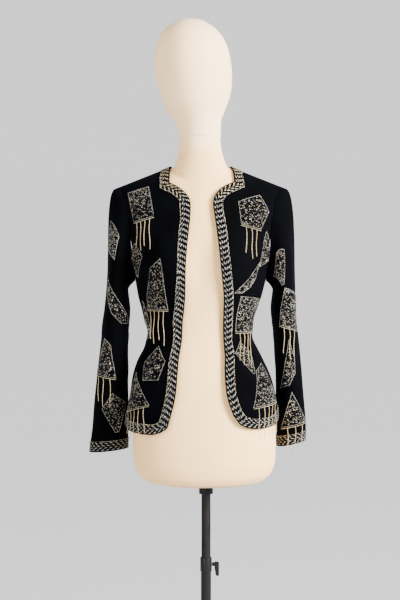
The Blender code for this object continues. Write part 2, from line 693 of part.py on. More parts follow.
def sleeve_grid(side, front, back):
    """A sleeve's grid, from the armhole over the cap and down to the cuff."""
    loop = armhole_loop(side, front, back)
    turns = np.linspace(0, 2 * np.pi, len(loop), endpoint=False)
    levels = np.array([ring.z for ring in side.rings[::-1]])
    rings = ring_points(side, levels, turns)
    away = np.zeros_like(loop)
    low = (1 + np.cos(turns)) / 2
    away[:, 0] = side.sign
    away[:, 1] = -0.35 * np.sin(turns)
    away[:, 2] = -0.22 - 0.75 * low**2
    away /= np.linalg.norm(away, axis=1, keepdims=True)
    down = rings[1] - rings[0]
    down /= np.linalg.norm(down, axis=1, keepdims=True)
    start, end = loop + away * SLEEVE_GAP, rings[0]
    length = np.linalg.norm(end - start, axis=1, keepdims=True)
    cap = [
        start * (1 + 2 * t) * (1 - t) ** 2
        + away * (CAP_PUFF * length + CAP_PUFF_LEAST) * t * (1 - t) ** 2
        + end * t * t * (3 - 2 * t)
        + down * length * t * t * (t - 1)
        for t in CAP_STEPS
    ]
    points = np.concatenate([np.array(cap), rings])
    cap_heights = levels[0] + CAP_LENGTH * (1 - np.array(CAP_STEPS))
    heights = np.concatenate([cap_heights, levels])
    normals = grid_normals(points, wrap=True) * -side.sign
    places = np.stack(np.broadcast_arrays(turns[None], heights[:, None]), axis=-1)
    return Grid(places, points, normals)


def corner_loops(rows, columns, wrap):
    """The four corners of every cell of a grid, with its row and column."""
    for j in range(rows - 1):
        for i in range(columns if wrap else columns - 1):
            k = (i + 1) % columns
            low, high = j * columns, (j + 1) * columns
            yield j, i, (low + i, low + k, high + k, high + i)


def wall(grid, low, high, keep=None, wrap=False):
    """A closed solid between two distances from the grid, over the cells that keep allows."""
    rows, columns = grid.points.shape[:2]
    count = rows * columns
    points = np.concatenate(
        [(grid.points + grid.normals * depth).reshape(-1, 3) for depth in (high, low)]
    )
    faces, edges = [], {}
    for j, i, (a, b, c, d) in corner_loops(rows, columns, wrap):
        if keep is not None and not keep(j, i):
            continue
        for face in ((a, b, c), (a, c, d)):
            faces.append(face)
            faces.append(tuple(index + count for index in face[::-1]))
            for start, end in zip(face, face[1:] + face[:1]):
                edges[(start, end)] = (end, start) in edges
                if (end, start) in edges:
                    edges[(end, start)] = True
    for (start, end), shared in edges.items():
        if not shared:
            faces.append((end, start, start + count, end + count))
    return points, faces


def clip(shape, outline):
    """The part of a convex shape inside a convex outline, both of (angle, height) points."""
    ends = np.roll(outline, -1, axis=0)
    turn = np.sign(np.sum(outline[:, 0] * ends[:, 1] - ends[:, 0] * outline[:, 1]))
    for start, end in zip(outline, ends):
        if len(shape) == 0:
            return shape
        run, away = end - start, shape - start
        side = turn * (run[0] * away[:, 1] - run[1] * away[:, 0])
        kept = []
        for k in range(len(shape)):
            n = (k + 1) % len(shape)
            if side[k] >= 0:
                kept.append(shape[k])
            if (side[k] > 0 > side[n]) or (side[k] < 0 < side[n]):
                share = side[k] / (side[k] - side[n])
                kept.append(shape[k] + (shape[n] - shape[k]) * share)
        shape = np.array(kept)
    return shape


def cell_triangles(grid, wrap):
    """Every triangle of a grid as three places, three points and three directions."""
    rows, columns = grid.points.shape[:2]
    places = grid.domain.reshape(-1, 2)
    points = grid.points.reshape(-1, 3)
    normals = grid.normals.reshape(-1, 3)
    for _, i, (a, b, c, d) in corner_loops(rows, columns, wrap):
        for face in ((a, b, c), (a, c, d)):
            at = places[list(face)].copy()
            if wrap and i == columns - 1:
                at[at[:, 0] < np.pi, 0] += 2 * np.pi
            yield at, points[list(face)], normals[list(face)]


def weights(triangle, at):
    """How much of each corner of a triangle makes up a place in its plane."""
    base = np.stack([triangle[1] - triangle[0], triangle[2] - triangle[0]], axis=1)
    b, c = np.linalg.solve(base, at - triangle[0])
    return np.array([1 - b - c, b, c])


def lay_on(grid, outline, wrap):
    """Points, directions and faces of the cloth inside an outline, cut along its own cells."""
    points, normals, faces = [], [], []
    low, high = outline.min(axis=0), outline.max(axis=0)
    for at, corners, out in cell_triangles(grid, wrap):
        if (at.max(axis=0) < low).any() or (at.min(axis=0) > high).any():
            continue
        face = []
        for place in clip(at, outline):
            share = weights(at, place)
            point = share @ corners
            near = [k for k, other in enumerate(points) if np.linalg.norm(other - point) < 1e-4]
            if not near:
                points.append(point)
                normals.append(share @ out)
                near = [len(points) - 1]
            if near[0] not in face:
                face.append(near[0])
        if len(face) > 2:
            faces.append(tuple(face))
    normals = np.array(normals)
    return np.array(points), normals / np.linalg.norm(normals, axis=1, keepdims=True), faces


def find(grid, place, wrap):
    """The point and direction of the cloth's faces at a place."""
    best, found = -1e9, None
    for at, corners, out in cell_triangles(grid, wrap):
        share = weights(at, place)
        if share.min() > best:
            best = share.min()
            found = share @ corners, share @ out
    return found[0], found[1] / np.linalg.norm(found[1])


def local_step(grid, place, wrap):
    """What turns a step in metres, across and up the cloth, into a step between places."""
    middle = find(grid, place, wrap)[0]
    moves = np.diag([0.05, 0.01])
    reach = [np.linalg.norm(find(grid, place + move, wrap)[0] - middle) for move in moves]
    return moves.diagonal() / reach


def patch_outline(patch, grid, wrap):
    """A patch's outline as places on its host, and the host's step there."""
    shape = np.array(SHAPES[patch.shape]) * [patch.width, patch.height]
    turn = np.radians(patch.turn)
    turned = shape @ np.array([[np.cos(turn), np.sin(turn)], [-np.sin(turn), np.cos(turn)]])
    middle = np.array([np.radians(patch.angle), patch.z])
    if patch.host == "back" and middle[0] < 0:
        middle[0] += 2 * np.pi
    step = local_step(grid, middle, wrap)
    return middle + turned * step, step


def add_patch(name, grid, outline, wrap, finish):
    """A beaded patch: the cloth's own points inside its outline, moved out."""
    points, normals, faces = lay_on(grid, outline, wrap)
    count = len(points)
    edges = {(a, b) for face in faces for a, b in zip(face, face[1:] + face[:1])}
    solid = faces + [tuple(k + count for k in face[::-1]) for face in faces]
    solid += [(b, a, a + count, b + count) for a, b in edges if (b, a) not in edges]
    top = points + normals * (LIFT + PATCH_THICKNESS)
    bottom = points + normals * LIFT
    made = add_piece(name, np.concatenate([top, bottom]), solid, finish)
    work = bmesh.new()
    work.from_mesh(made.data)
    bmesh.ops.triangulate(work, faces=work.faces, quad_method="FIXED", ngon_method="EAR_CLIP")
    work.to_mesh(made.data)
    work.free()


def strand_line(root, host_y, clear, forward, drop):
    """The middle of a hanging strand: straight down, and out where the cloth is in its way."""
    line = [root]
    for k in range(1, STRAND_STEPS + 1):
        z = root[2] - drop * k / STRAND_STEPS
        limit = host_y(root[0], z) + (-clear if forward else clear)
        before = line[-1][1]
        y = min(before, limit) if forward else max(before, limit)
        line.append(np.array([root[0], y, z]))
    return line


def add_fringe(name, patch, grid, outline, step, wrap, host_y, finish):
    """A narrow strip under a patch's lower edge, with bead strands that grow out of it."""
    forward = find(grid, outline.mean(axis=0), wrap)[1][1] < 0
    gap = HEADER_GAP_ROUND if wrap else HEADER_GAP
    left, right = outline[0], outline[1]
    length = np.linalg.norm((right - left) / step)
    cell = (length - 2 * STRAND * patch.strands) / (patch.strands + 1)
    stops = [0.0]
    for _ in range(patch.strands):
        stops += [stops[-1] + cell, stops[-1] + cell + 2 * STRAND]
    stops.append(length)
    points = []
    for stop in stops:
        for level in (HEADER_DROP, HEADER_DROP + HEADER_HEIGHT):
            place = left + (right - left) * stop / length - [0, level * step[1]]
            point, out = find(grid, place, wrap)
            points += [point + out * gap, point + out * (gap + HEADER_THICKNESS)]
    faces = [(0, 1, 3, 2), tuple(4 * (len(stops) - 1) + k for k in (0, 2, 3, 1))]
    for k in range(len(stops) - 1):
        a, b = 4 * k, 4 * k + 4
        faces += [(a, b, b + 1, a + 1), (a + 1, b + 1, b + 3, a + 3), (a, a + 2, b + 2, b)]
        ring = [a + 2, b + 2, b + 3, a + 3]
        if k % 2 == 0:
            faces.append(tuple(ring))
            continue
        corners = [points[index] for index in ring]
        root = sum(corners) / 4
        across = (corners[1] - corners[0]) * [1, 1, 0]
        across /= np.linalg.norm(across)
        outward = np.cross([0, 0, 1.0], across) * (-1 if forward else 1)
        outward *= np.sign(np.dot(outward, corners[3] - corners[0]))
        drop = patch.hang * (1 - STRAND_UNEVEN * ((k * 5) % 7) / 6)
        clear = STRAND_CLEAR / abs(outward[1])
        for middle in strand_line(root, host_y, clear, forward, drop)[1:]:
            base = len(points)
            for u, v in ((-1, -1), (1, -1), (1, 1), (-1, 1)):
                points.append(middle + (across * u + outward * v) * STRAND)
            new = [base, base + 1, base + 2, base + 3]
            faces += [(ring[n], ring[(n + 1) % 4], new[(n + 1) % 4], new[n]) for n in range(4)]
            ring = new
        faces.append(tuple(ring))
    add_piece(name, points, faces, finish)


def sleeve_y(side, forward, x, z):
    """How far forward or back a sleeve stands at a place seen from the front."""
    value = {name: smooth(side.rings, "z", name, z) for name in Ring._fields[1:]}
    middle = (value["inner_x"] + value["outer_x"]) / 2
    reach = abs(value["outer_x"] - value["inner_x"]) / 2
    share = np.sqrt(max(0.0, 1 - ((x - middle) / reach) ** 2))
    return value["middle_y"] + value["half_y"] * share * (-1 if forward else 1)


def body_y(forward, x, z):
    """How far forward or back the jacket's body stands at a place seen from the front."""
    at = cloth_place(x, np.array(z))
    if not forward:
        at[0] = np.pi - at[0]
    return float(cloth(at)[1])


def rings_solid(rings):
    """Points and faces of rings joined one to the next, with its ends closed by flat faces."""
    count, size = len(rings), len(rings[0])
    faces = [tuple(range(size))[::-1], tuple((count - 1) * size + k for k in range(size))]
    for j in range(count - 1):
        for k in range(size):
            n = (k + 1) % size
            faces.append((j * size + k, j * size + n, (j + 1) * size + n, (j + 1) * size + k))
    return np.concatenate(rings), faces


def oval_rings(rows, size):
    """A level oval of points for each row."""
    turns = np.linspace(0, 2 * np.pi, size, endpoint=False)
    return [
        np.stack(
            [
                row.centre_x + row.half_x * np.cos(turns),
                row.centre_y + row.half_y * np.sin(turns),
                np.full(size, row.z),
            ],
            axis=-1,
        )
        for row in rows
    ]


def add_form(finish):
    """The padded torso, closed along its shoulder ridge, with the neck joined to it."""
    size = FORM_SIDES
    angles = np.linspace(0, 2 * np.pi, size, endpoint=False)
    low = [row.z for row in FORM.sections]
    high = UNDERARM_Z + YOKE_LENGTH * np.array(FORM_CHEST_TURNS) / 90
    rings = [
        torso(FORM, np.stack([angles, np.full(size, level)], axis=-1))
        for level in np.concatenate([low, high])
    ]
    points, faces = rings_solid(rings)
    faces.pop(1)
    last = (len(rings) - 1) * size
    quarter = size // 4
    for k in range(quarter, -quarter, -1):
        a, b = k, k - 1
        faces.append(tuple(last + n % size for n in (a, b, size // 2 - b, size // 2 - a)))
    faces = [tuple(dict.fromkeys(face)) for face in faces]
    body = add_piece("form_torso", points, faces, finish, sharp=60.0)
    neck = add_piece("neck_guide", *rings_solid(oval_rings(NECK, NECK_SIDES)), finish)
    neck.hide_render = True
    neck.display_type = "WIRE"
    join = body.modifiers.new("neck", "BOOLEAN")
    join.operation = "UNION"
    join.object = neck
    add_piece("form_head", *rings_solid(oval_rings(HEAD, NECK_SIDES)), finish, sharp=60.0)


def turned_solid(profile, sides, closed=False):
    """A profile of (radius, height) turned about the upright axis, as a ring where it is closed."""
    rows = [Oval(row.z, row.radius, row.radius, 0.0, 0.0) for row in profile]
    points, faces = rings_solid(oval_rings(rows, sides))
    if closed:
        faces = faces[2:]
        last = (len(profile) - 1) * sides
        for k in range(sides):
            n = (k + 1) % sides
            faces.append((last + k, last + n, n, k))
    return points, faces


def add_stand(worn, black):
    """Base plate, tube, clamp with its lever, sliding pole and the flange under the form."""
    plate = (
        Turned(BASE_RADIUS, 0.0),
        Turned(BASE_RADIUS, BASE_THICKNESS - 0.003),
        Turned(BASE_RADIUS - 0.004, BASE_THICKNESS),
        Turned(0.034, BASE_THICKNESS + 0.004),
        Turned(0.026, BASE_THICKNESS + 0.008),
        Turned(0.022, BASE_THICKNESS + 0.022),
    )
    base_top = plate[-1].z
    add_piece("base_plate", *turned_solid(plate, 36), black, sharp=25.0)
    clamp_bottom = TUBE_TOP - CLAMP_HEIGHT
    tube = (
        Turned(BORE_RADIUS, base_top + SEAT_GAP),
        Turned(TUBE_RADIUS, base_top + SEAT_GAP),
        Turned(TUBE_RADIUS, clamp_bottom - SEAT_GAP),
        Turned(BORE_RADIUS, clamp_bottom - SEAT_GAP),
    )
    add_piece("pole_tube", *turned_solid(tube, 24, closed=True), black, sharp=30.0)
    clamp = (
        Turned(BORE_RADIUS, clamp_bottom),
        Turned(CLAMP_RADIUS - 0.001, clamp_bottom),
        Turned(CLAMP_RADIUS, clamp_bottom + 0.001),
        Turned(CLAMP_RADIUS, TUBE_TOP - 0.002),
        Turned(CLAMP_RADIUS - 0.0015, TUBE_TOP),
        Turned(BORE_RADIUS, TUBE_TOP),
    )
    add_piece("pole_clamp", *turned_solid(clamp, 24, closed=True), black, sharp=30.0)
    pole = (
        Turned(POLE_RADIUS - 0.001, POLE_BOTTOM),
        Turned(POLE_RADIUS, POLE_BOTTOM + 0.001),
        Turned(POLE_RADIUS, POLE_TOP - 0.001),
        Turned(POLE_RADIUS - 0.001, POLE_TOP),
    )
    add_piece("pole_upper", *turned_solid(pole, 24), worn, sharp=30.0)
    add_piece("form_flange", *flange_solid(), black, sharp=30.0)
    lever = add_piece("clamp_lever", *lever_solid(), black, sharp=40.0)
    lever.location = (CLAMP_RADIUS + SEAT_GAP, 0.0, LEVER_Z)


def flange_solid():
    """The plate under the form, with the socket that the pole's top stands in."""
    plate_top = FORM_BOTTOM - SEAT_GAP
    plate_bottom = plate_top - FLANGE_THICKNESS
    profile = (
        Turned(BORE_RADIUS, POLE_TOP + SEAT_GAP),
        Turned(BORE_RADIUS, plate_bottom - SOCKET_DEPTH),
        Turned(SOCKET_RADIUS, plate_bottom - SOCKET_DEPTH),
        Turned(SOCKET_RADIUS, plate_bottom - 0.001),
        Turned(FLANGE_RADIUS, plate_bottom),
        Turned(FLANGE_RADIUS, plate_top),
    )
    return turned_solid(profile, 24)


def lever_solid():
    """A screw's head with a flat wing that hangs down from it, on the X axis."""
    turns = np.linspace(0, 2 * np.pi, LEVER_SIDES, endpoint=False)
    wing = np.where(np.sin(turns) < -0.5, 1.0, 0.0)
    rings = []
    for row in LEVER:
        y = row.radius * np.cos(turns)
        z = row.radius * np.sin(turns) - wing * row.reach
        rings.append(np.stack([np.full_like(y, row.x), y, z], axis=-1))
    return rings_solid(rings)


def add_jacket(velvet, silver, gold):
    """The cut pieces, their beaded bands, and the patches with their fringes."""
    fronts = {side.name: front_panel(side) for side in (RIGHT, LEFT)}
    back = back_panel()
    rows = back.points.shape[0]
    grids = {"back": back}
    add_piece("back", *wall(back, -WALL, 0.0), velvet)
    high = LIFT + TRIM_THICKNESS
    add_piece("trim_hem_back", *wall(back, LIFT, high, lambda j, i: j == 0), silver)
    add_piece("trim_neck_back", *wall(back, LIFT, high, lambda j, i: j == rows - 2), silver)
    for side in (RIGHT, LEFT):
        front = fronts[side.name]
        grids["front_" + side.name] = front
        add_piece("front_" + side.name, *wall(front, -WALL, 0.0), velvet)
        on_band = wall(front, LIFT, high, lambda j, i: i == 0 or j == 0)
        add_piece("trim_front_" + side.name, *on_band, silver)
        sleeve = sleeve_grid(side, front, back)
        grids["sleeve_" + side.name] = sleeve
        add_piece("sleeve_" + side.name, *wall(sleeve, -WALL, 0.0, wrap=True), velvet)
        last = sleeve.points.shape[0] - 2
        cuff = wall(sleeve, LIFT, high, lambda j, i: j == last, wrap=True)
        add_piece("cuff_" + side.name, *cuff, silver)
    sides = {"right": RIGHT, "left": LEFT}
    counts = {}
    for patch in PATCHES:
        counts[patch.host] = counts.get(patch.host, 0) + 1
        grid, wrap = grids[patch.host], patch.host.startswith("sleeve")
        outline, step = patch_outline(patch, grid, wrap)
        label = f"{patch.host}_{counts[patch.host]}"
        add_patch("patch_" + label, grid, outline, wrap, silver)
        if not patch.strands:
            continue
        if wrap:
            host_y = partial(sleeve_y, sides[patch.host.split("_")[1]], patch.angle < 180)
        else:
            host_y = partial(body_y, patch.host != "back")
        add_fringe("fringe_" + label, patch, grid, outline, step, wrap, host_y, gold)


def main():
    clear_scene()
    velvet = material("velvet", VELVET, 0.9, 0.0)
    silver = material("silver_beads", SILVER_BEADS, 0.35, 0.6)
    gold = material("gold_beads", GOLD_BEADS, 0.3, 0.7)
    jersey = material("jersey", JERSEY, 0.85, 0.0)
    worn = material("worn_steel", WORN_STEEL, 0.45, 0.8)
    black = material("black_steel", BLACK_STEEL, 0.4, 0.2)
    add_stand(worn, black)
    add_form(jersey)
    add_jacket(velvet, silver, gold)


main()
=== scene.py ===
"""The looks of a beaded velvet evening jacket on a padded dress form.

A place on the jacket's body is (angle, height): the angle goes round it from 0 at the middle
of the front to 90 degrees at the wearer's left side, and the height is measured along the
cloth. A place on a sleeve is (turn, height): the turn is 0 next to the body and 90 degrees in
front. All lengths are in metres, +Z is up and the front faces -Y.
"""

from __future__ import annotations

import json
import logging
import math
from dataclasses import dataclass, field, fields
from enum import Enum
from typing import Protocol, Sequence

import bmesh
import bpy
import numpy as np
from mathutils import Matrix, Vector

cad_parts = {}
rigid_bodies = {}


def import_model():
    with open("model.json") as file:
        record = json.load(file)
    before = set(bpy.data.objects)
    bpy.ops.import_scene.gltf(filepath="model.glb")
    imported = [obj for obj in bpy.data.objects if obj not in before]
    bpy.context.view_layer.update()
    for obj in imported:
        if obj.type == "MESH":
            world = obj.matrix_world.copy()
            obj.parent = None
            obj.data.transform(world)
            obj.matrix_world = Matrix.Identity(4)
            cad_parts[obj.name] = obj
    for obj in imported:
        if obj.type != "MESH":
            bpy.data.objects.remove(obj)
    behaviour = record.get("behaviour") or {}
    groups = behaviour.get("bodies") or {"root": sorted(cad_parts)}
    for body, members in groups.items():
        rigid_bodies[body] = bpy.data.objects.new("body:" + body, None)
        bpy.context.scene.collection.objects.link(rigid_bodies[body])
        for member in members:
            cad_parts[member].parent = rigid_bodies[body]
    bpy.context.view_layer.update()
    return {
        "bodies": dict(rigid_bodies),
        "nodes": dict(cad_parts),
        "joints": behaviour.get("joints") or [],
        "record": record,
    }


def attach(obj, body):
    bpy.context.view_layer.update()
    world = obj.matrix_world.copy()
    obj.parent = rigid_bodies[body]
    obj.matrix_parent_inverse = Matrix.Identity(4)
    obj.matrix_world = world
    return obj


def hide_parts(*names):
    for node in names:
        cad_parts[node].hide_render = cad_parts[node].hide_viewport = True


LOG = logging.getLogger("jacket")
Array = np.ndarray
Colour = tuple[float, float, float]
Triple = tuple[float, float, float]


# Rows of the tables that give the jacket and the form their shape


@dataclass(frozen=True)
class Section:
    """A level section of the body."""

    z: float
    half_width: float
    front: float
    back: float
    centre_x: float


@dataclass(frozen=True)
class Edge:
    """A point of a front edge, seen from the front."""

    z: float
    x: float


@dataclass(frozen=True)
class Hem:
    """The hem's height at an angle in degrees from the middle of the front."""

    angle: float
    z: float


@dataclass(frozen=True)
class Ring:
    """A level oval of a sleeve."""

    z: float
    inner_x: float
    outer_x: float
    middle_y: float
    half_y: float
    tilt: float


@dataclass(frozen=True)
class Oval:
    """A level oval of the neck or the head."""

    z: float
    half_x: float
    half_y: float
    centre_x: float
    centre_y: float


@dataclass(frozen=True)
class Crease:
    """A soft trough in the cloth, with its place in degrees and metres and its slant."""

    angle: float
    z: float
    half_angle: float
    half_height: float
    depth: float
    slant: float = 0.0


@dataclass(frozen=True)
class Patch:
    """A beaded patch: its host, place, outline, size, turn in degrees and fringe."""

    host: str
    angle: float
    z: float
    shape: str
    width: float
    height: float
    turn: float
    strands: int
    hang: float


# Sizes shared by the cutting and the beading

WALL = 0.0018
SLEEVE_GAP = 0.0009
BAND = 0.024
NECK_BAND = 0.026
UNDERARM_Z = 1.130
YOKE_LENGTH = 0.300
ROUNDNESS = 0.90
CHEST_FALL = 1.2
BACK_FALL = 0.8
RIDGE_SLOPE = 0.395
BUST_SIDE = 0.082
BUST_Z = 1.165
BUST_WIDTH = 0.052
BUST_HEIGHT = 0.060
BODY_RADIUS = 0.16
NECK_HALF = 0.071
NECK_BACK_DEPTH = 0.060
STRAND = 0.0011
STRAND_CLEAR = 0.0034
STRAND_UNEVEN = 0.22

# How finely lines are worked out

TINY = 1e-12
MERGE = 1e-6
HALVINGS = 40
MITRE_LEAST = 0.4
LINE_STEP = 0.0016
NOISE_RANGE = (0.3, 0.7)

CLOTH_SECTIONS = (
    Section(0.740, 0.1850, 0.128, 0.130, -0.0090),
    Section(0.800, 0.1830, 0.124, 0.128, -0.0095),
    Section(0.862, 0.1745, 0.118, 0.122, -0.0085),
    Section(0.903, 0.1655, 0.112, 0.114, -0.0110),
    Section(0.940, 0.1510, 0.104, 0.104, -0.0135),
    Section(0.990, 0.1300, 0.094, 0.090, -0.0145),
    Section(1.040, 0.1335, 0.098, 0.088, -0.0160),
    Section(1.097, 0.1490, 0.108, 0.096, -0.0145),
    Section(1.130, 0.1560, 0.112, 0.101, -0.0130),
)
FORM_SECTIONS = (
    Section(0.646, 0.1120, 0.078, 0.082, -0.0040),
    Section(0.650, 0.1300, 0.090, 0.094, -0.0040),
    Section(0.661, 0.1500, 0.103, 0.107, -0.0040),
    Section(0.683, 0.1650, 0.112, 0.116, -0.0040),
    Section(0.719, 0.1700, 0.116, 0.120, -0.0040),
    Section(0.771, 0.1710, 0.115, 0.119, -0.0050),
    Section(0.862, 0.1620, 0.107, 0.111, -0.0070),
    Section(0.903, 0.1520, 0.102, 0.104, -0.0090),
    Section(0.940, 0.1380, 0.094, 0.094, -0.0120),
    Section(0.990, 0.1200, 0.085, 0.081, -0.0140),
    Section(1.040, 0.1230, 0.088, 0.079, -0.0150),
    Section(1.097, 0.1370, 0.097, 0.087, -0.0145),
    Section(1.130, 0.1440, 0.102, 0.092, -0.0130),
)
BODY_CREASES = (
    Crease(-78.0, 1.010, 34.0, 0.016, 0.0040),
    Crease(-100.0, 0.965, 30.0, 0.018, 0.0035),
    Crease(74.0, 0.995, 32.0, 0.017, 0.0040),
    Crease(104.0, 1.035, 28.0, 0.016, 0.0035),
    Crease(180.0, 1.000, 40.0, 0.020, 0.0045),
    Crease(-140.0, 1.045, 26.0, 0.018, 0.0035),
    Crease(142.0, 0.955, 28.0, 0.018, 0.0035),
    Crease(-62.0, 1.075, 18.0, 0.007, 0.0016, 0.10),
    Crease(-50.0, 1.218, 16.0, 0.008, 0.0016, -0.16),
    Crease(58.0, 1.090, 20.0, 0.007, 0.0018, -0.08),
    Crease(52.0, 1.222, 15.0, 0.008, 0.0016, 0.14),
    Crease(66.0, 1.150, 12.0, 0.006, 0.0014, 0.22),
    Crease(-70.0, 1.135, 13.0, 0.006, 0.0014, -0.20),
    Crease(-56.0, 0.930, 9.0, 0.050, 0.0014),
    Crease(50.0, 0.915, 8.0, 0.055, 0.0014),
    Crease(80.0, 0.880, 7.0, 0.045, 0.0016),
    Crease(-85.0, 0.870, 8.0, 0.048, 0.0016),
    Crease(150.0, 1.170, 10.0, 0.060, 0.0014, 0.04),
    Crease(-155.0, 1.180, 10.0, 0.055, 0.0014, -0.04),
    Crease(120.0, 1.190, 9.0, 0.050, 0.0015, 0.05),
    Crease(-122.0, 1.200, 9.0, 0.050, 0.0015, -0.05),
)
SLEEVE_CREASES = (
    Crease(96.0, 0.985, 46.0, 0.007, 0.0020, 0.018),
    Crease(70.0, 0.955, 38.0, 0.006, 0.0018, -0.016),
    Crease(40.0, 0.972, 34.0, 0.006, 0.0020, 0.014),
    Crease(112.0, 1.018, 40.0, 0.006, 0.0016, -0.012),
    Crease(84.0, 1.052, 34.0, 0.007, 0.0014, 0.020),
    Crease(20.0, 1.010, 36.0, 0.007, 0.0018, -0.014),
    Crease(300.0, 0.975, 44.0, 0.007, 0.0020, 0.016),
    Crease(250.0, 1.005, 36.0, 0.006, 0.0016, -0.014),
    Crease(150.0, 1.150, 14.0, 0.060, 0.0012),
    Crease(102.0, 1.175, 10.0, 0.060, 0.0014),
    Crease(128.0, 0.900, 11.0, 0.070, 0.0014),
    Crease(88.0, 0.870, 9.0, 0.060, 0.0012),
    Crease(168.0, 0.860, 10.0, 0.065, 0.0012),
    Crease(220.0, 0.880, 12.0, 0.065, 0.0014),
)
NECK = (
    Oval(1.330, 0.078, 0.050, -0.0120, 0.000),
    Oval(1.375, 0.072, 0.055, -0.0120, -0.002),
    Oval(1.395, 0.0655, 0.055, -0.0125, -0.004),
    Oval(1.420, 0.0560, 0.052, -0.0130, -0.006),
    Oval(1.445, 0.0505, 0.050, -0.0140, -0.008),
    Oval(1.468, 0.0485, 0.049, -0.0145, -0.009),
)
HEAD = (
    Oval(1.4683, 0.0495, 0.050, -0.0140, -0.009),
    Oval(1.4810, 0.0500, 0.052, -0.0150, -0.009),
    Oval(1.4970, 0.0525, 0.056, -0.0172, -0.010),
    Oval(1.5140, 0.0580, 0.064, -0.0210, -0.011),
    Oval(1.5340, 0.0690, 0.077, -0.0245, -0.012),
    Oval(1.5700, 0.0834, 0.095, -0.0260, -0.012),
    Oval(1.6130, 0.0910, 0.105, -0.0290, -0.012),
    Oval(1.6490, 0.0918, 0.107, -0.0325, -0.012),
    Oval(1.6900, 0.0840, 0.099, -0.0350, -0.012),
    Oval(1.7150, 0.0710, 0.084, -0.0365, -0.012),
    Oval(1.7360, 0.0480, 0.057, -0.0378, -0.012),
    Oval(1.7470, 0.0230, 0.027, -0.0370, -0.012),
    Oval(1.7500, 0.0060, 0.007, -0.0365, -0.012),
)
SHAPES: dict[str, tuple[tuple[float, float], ...]] = {
    "slab": ((-0.50, -0.42), (0.42, -0.50), (0.50, 0.36), (-0.38, 0.50)),
    "wedge": ((-0.50, -0.50), (0.50, -0.44), (0.26, 0.50), (-0.12, 0.34)),
    "spear": ((-0.50, -0.50), (0.50, -0.34), (-0.16, 0.50)),
    "gem": ((-0.32, -0.50), (0.34, -0.46), (0.50, 0.08), (0.02, 0.50), (-0.50, 0.02)),
    "kite": ((-0.06, -0.50), (0.08, -0.50), (0.50, 0.14), (0.06, 0.50), (-0.50, 0.20)),
    "leaf": ((-0.50, -0.50), (-0.04, -0.46), (0.34, -0.22), (0.50, 0.12), (0.44, 0.50)),
}
PATCHES = (
    Patch("front_right", -47.0, 1.292, "slab", 0.062, 0.088, 8.0, 4, 0.070),
    Patch("front_right", -66.0, 1.168, "kite", 0.057, 0.082, -10.0, 0, 0.0),
    Patch("front_right", -42.0, 1.112, "wedge", 0.074, 0.114, -6.0, 4, 0.078),
    Patch("front_right", -72.0, 1.035, "leaf", 0.043, 0.094, 12.0, 0, 0.0),
    Patch("front_right", -44.0, 0.935, "gem", 0.062, 0.085, 0.0, 0, 0.0),
    Patch("front_right", -61.0, 0.868, "spear", 0.083, 0.093, 4.0, 5, 0.062),
    Patch("front_left", 41.0, 1.268, "gem", 0.080, 0.088, -6.0, 3, 0.072),
    Patch("front_left", 66.0, 1.192, "spear", 0.059, 0.083, 10.0, 0, 0.0),
    Patch("front_left", 43.0, 1.130, "leaf", 0.046, 0.099, -14.0, 0, 0.0),
    Patch("front_left", 56.0, 1.050, "slab", 0.077, 0.094, 6.0, 4, 0.074),
    Patch("front_left", 44.5, 0.948, "kite", 0.046, 0.081, 8.0, 0, 0.0),
    Patch("front_left", 57.0, 0.885, "wedge", 0.086, 0.103, 2.0, 5, 0.072),
    Patch("sleeve_right", 128.0, 1.215, "slab", 0.057, 0.082, 10.0, 0, 0.0),
    Patch("sleeve_right", 78.0, 1.080, "leaf", 0.057, 0.122, -8.0, 0, 0.0),
    Patch("sleeve_right", 112.0, 0.945, "wedge", 0.062, 0.097, 4.0, 3, 0.070),
    Patch("sleeve_right", 70.0, 0.812, "kite", 0.065, 0.099, -6.0, 0, 0.0),
    Patch("sleeve_right", 250.0, 0.990, "gem", 0.065, 0.085, 0.0, 0, 0.0),
    Patch("sleeve_left", 68.0, 1.190, "kite", 0.060, 0.088, 8.0, 0, 0.0),
    Patch("sleeve_left", 112.0, 1.062, "slab", 0.060, 0.099, -6.0, 3, 0.072),
    Patch("sleeve_left", 72.0, 0.930, "leaf", 0.054, 0.116, 10.0, 0, 0.0),
    Patch("sleeve_left", 104.0, 0.818, "spear", 0.068, 0.091, -4.0, 3, 0.078),
    Patch("sleeve_left", 255.0, 1.010, "wedge", 0.062, 0.091, 6.0, 0, 0.0),
    Patch("back", 146.0, 1.268, "slab", 0.080, 0.099, -8.0, 4, 0.072),
    Patch("back", -150.0, 1.205, "gem", 0.071, 0.094, 6.0, 0, 0.0),
    Patch("back", 176.0, 1.085, "wedge", 0.082, 0.116, 4.0, 4, 0.078),
    Patch("back", 132.0, 1.000, "leaf", 0.051, 0.114, -10.0, 0, 0.0),
    Patch("back", -142.0, 0.925, "spear", 0.097, 0.111, 0.0, 5, 0.070),
    Patch("back", 160.0, 0.885, "kite", 0.065, 0.105, 8.0, 0, 0.0),
)


@dataclass(frozen=True)
class Side:
    """One side of the jacket: its front edge, hem and sleeve."""

    name: str
    sign: float
    edge: tuple[Edge, ...]
    hem: tuple[Hem, ...]
    rings: tuple[Ring, ...]


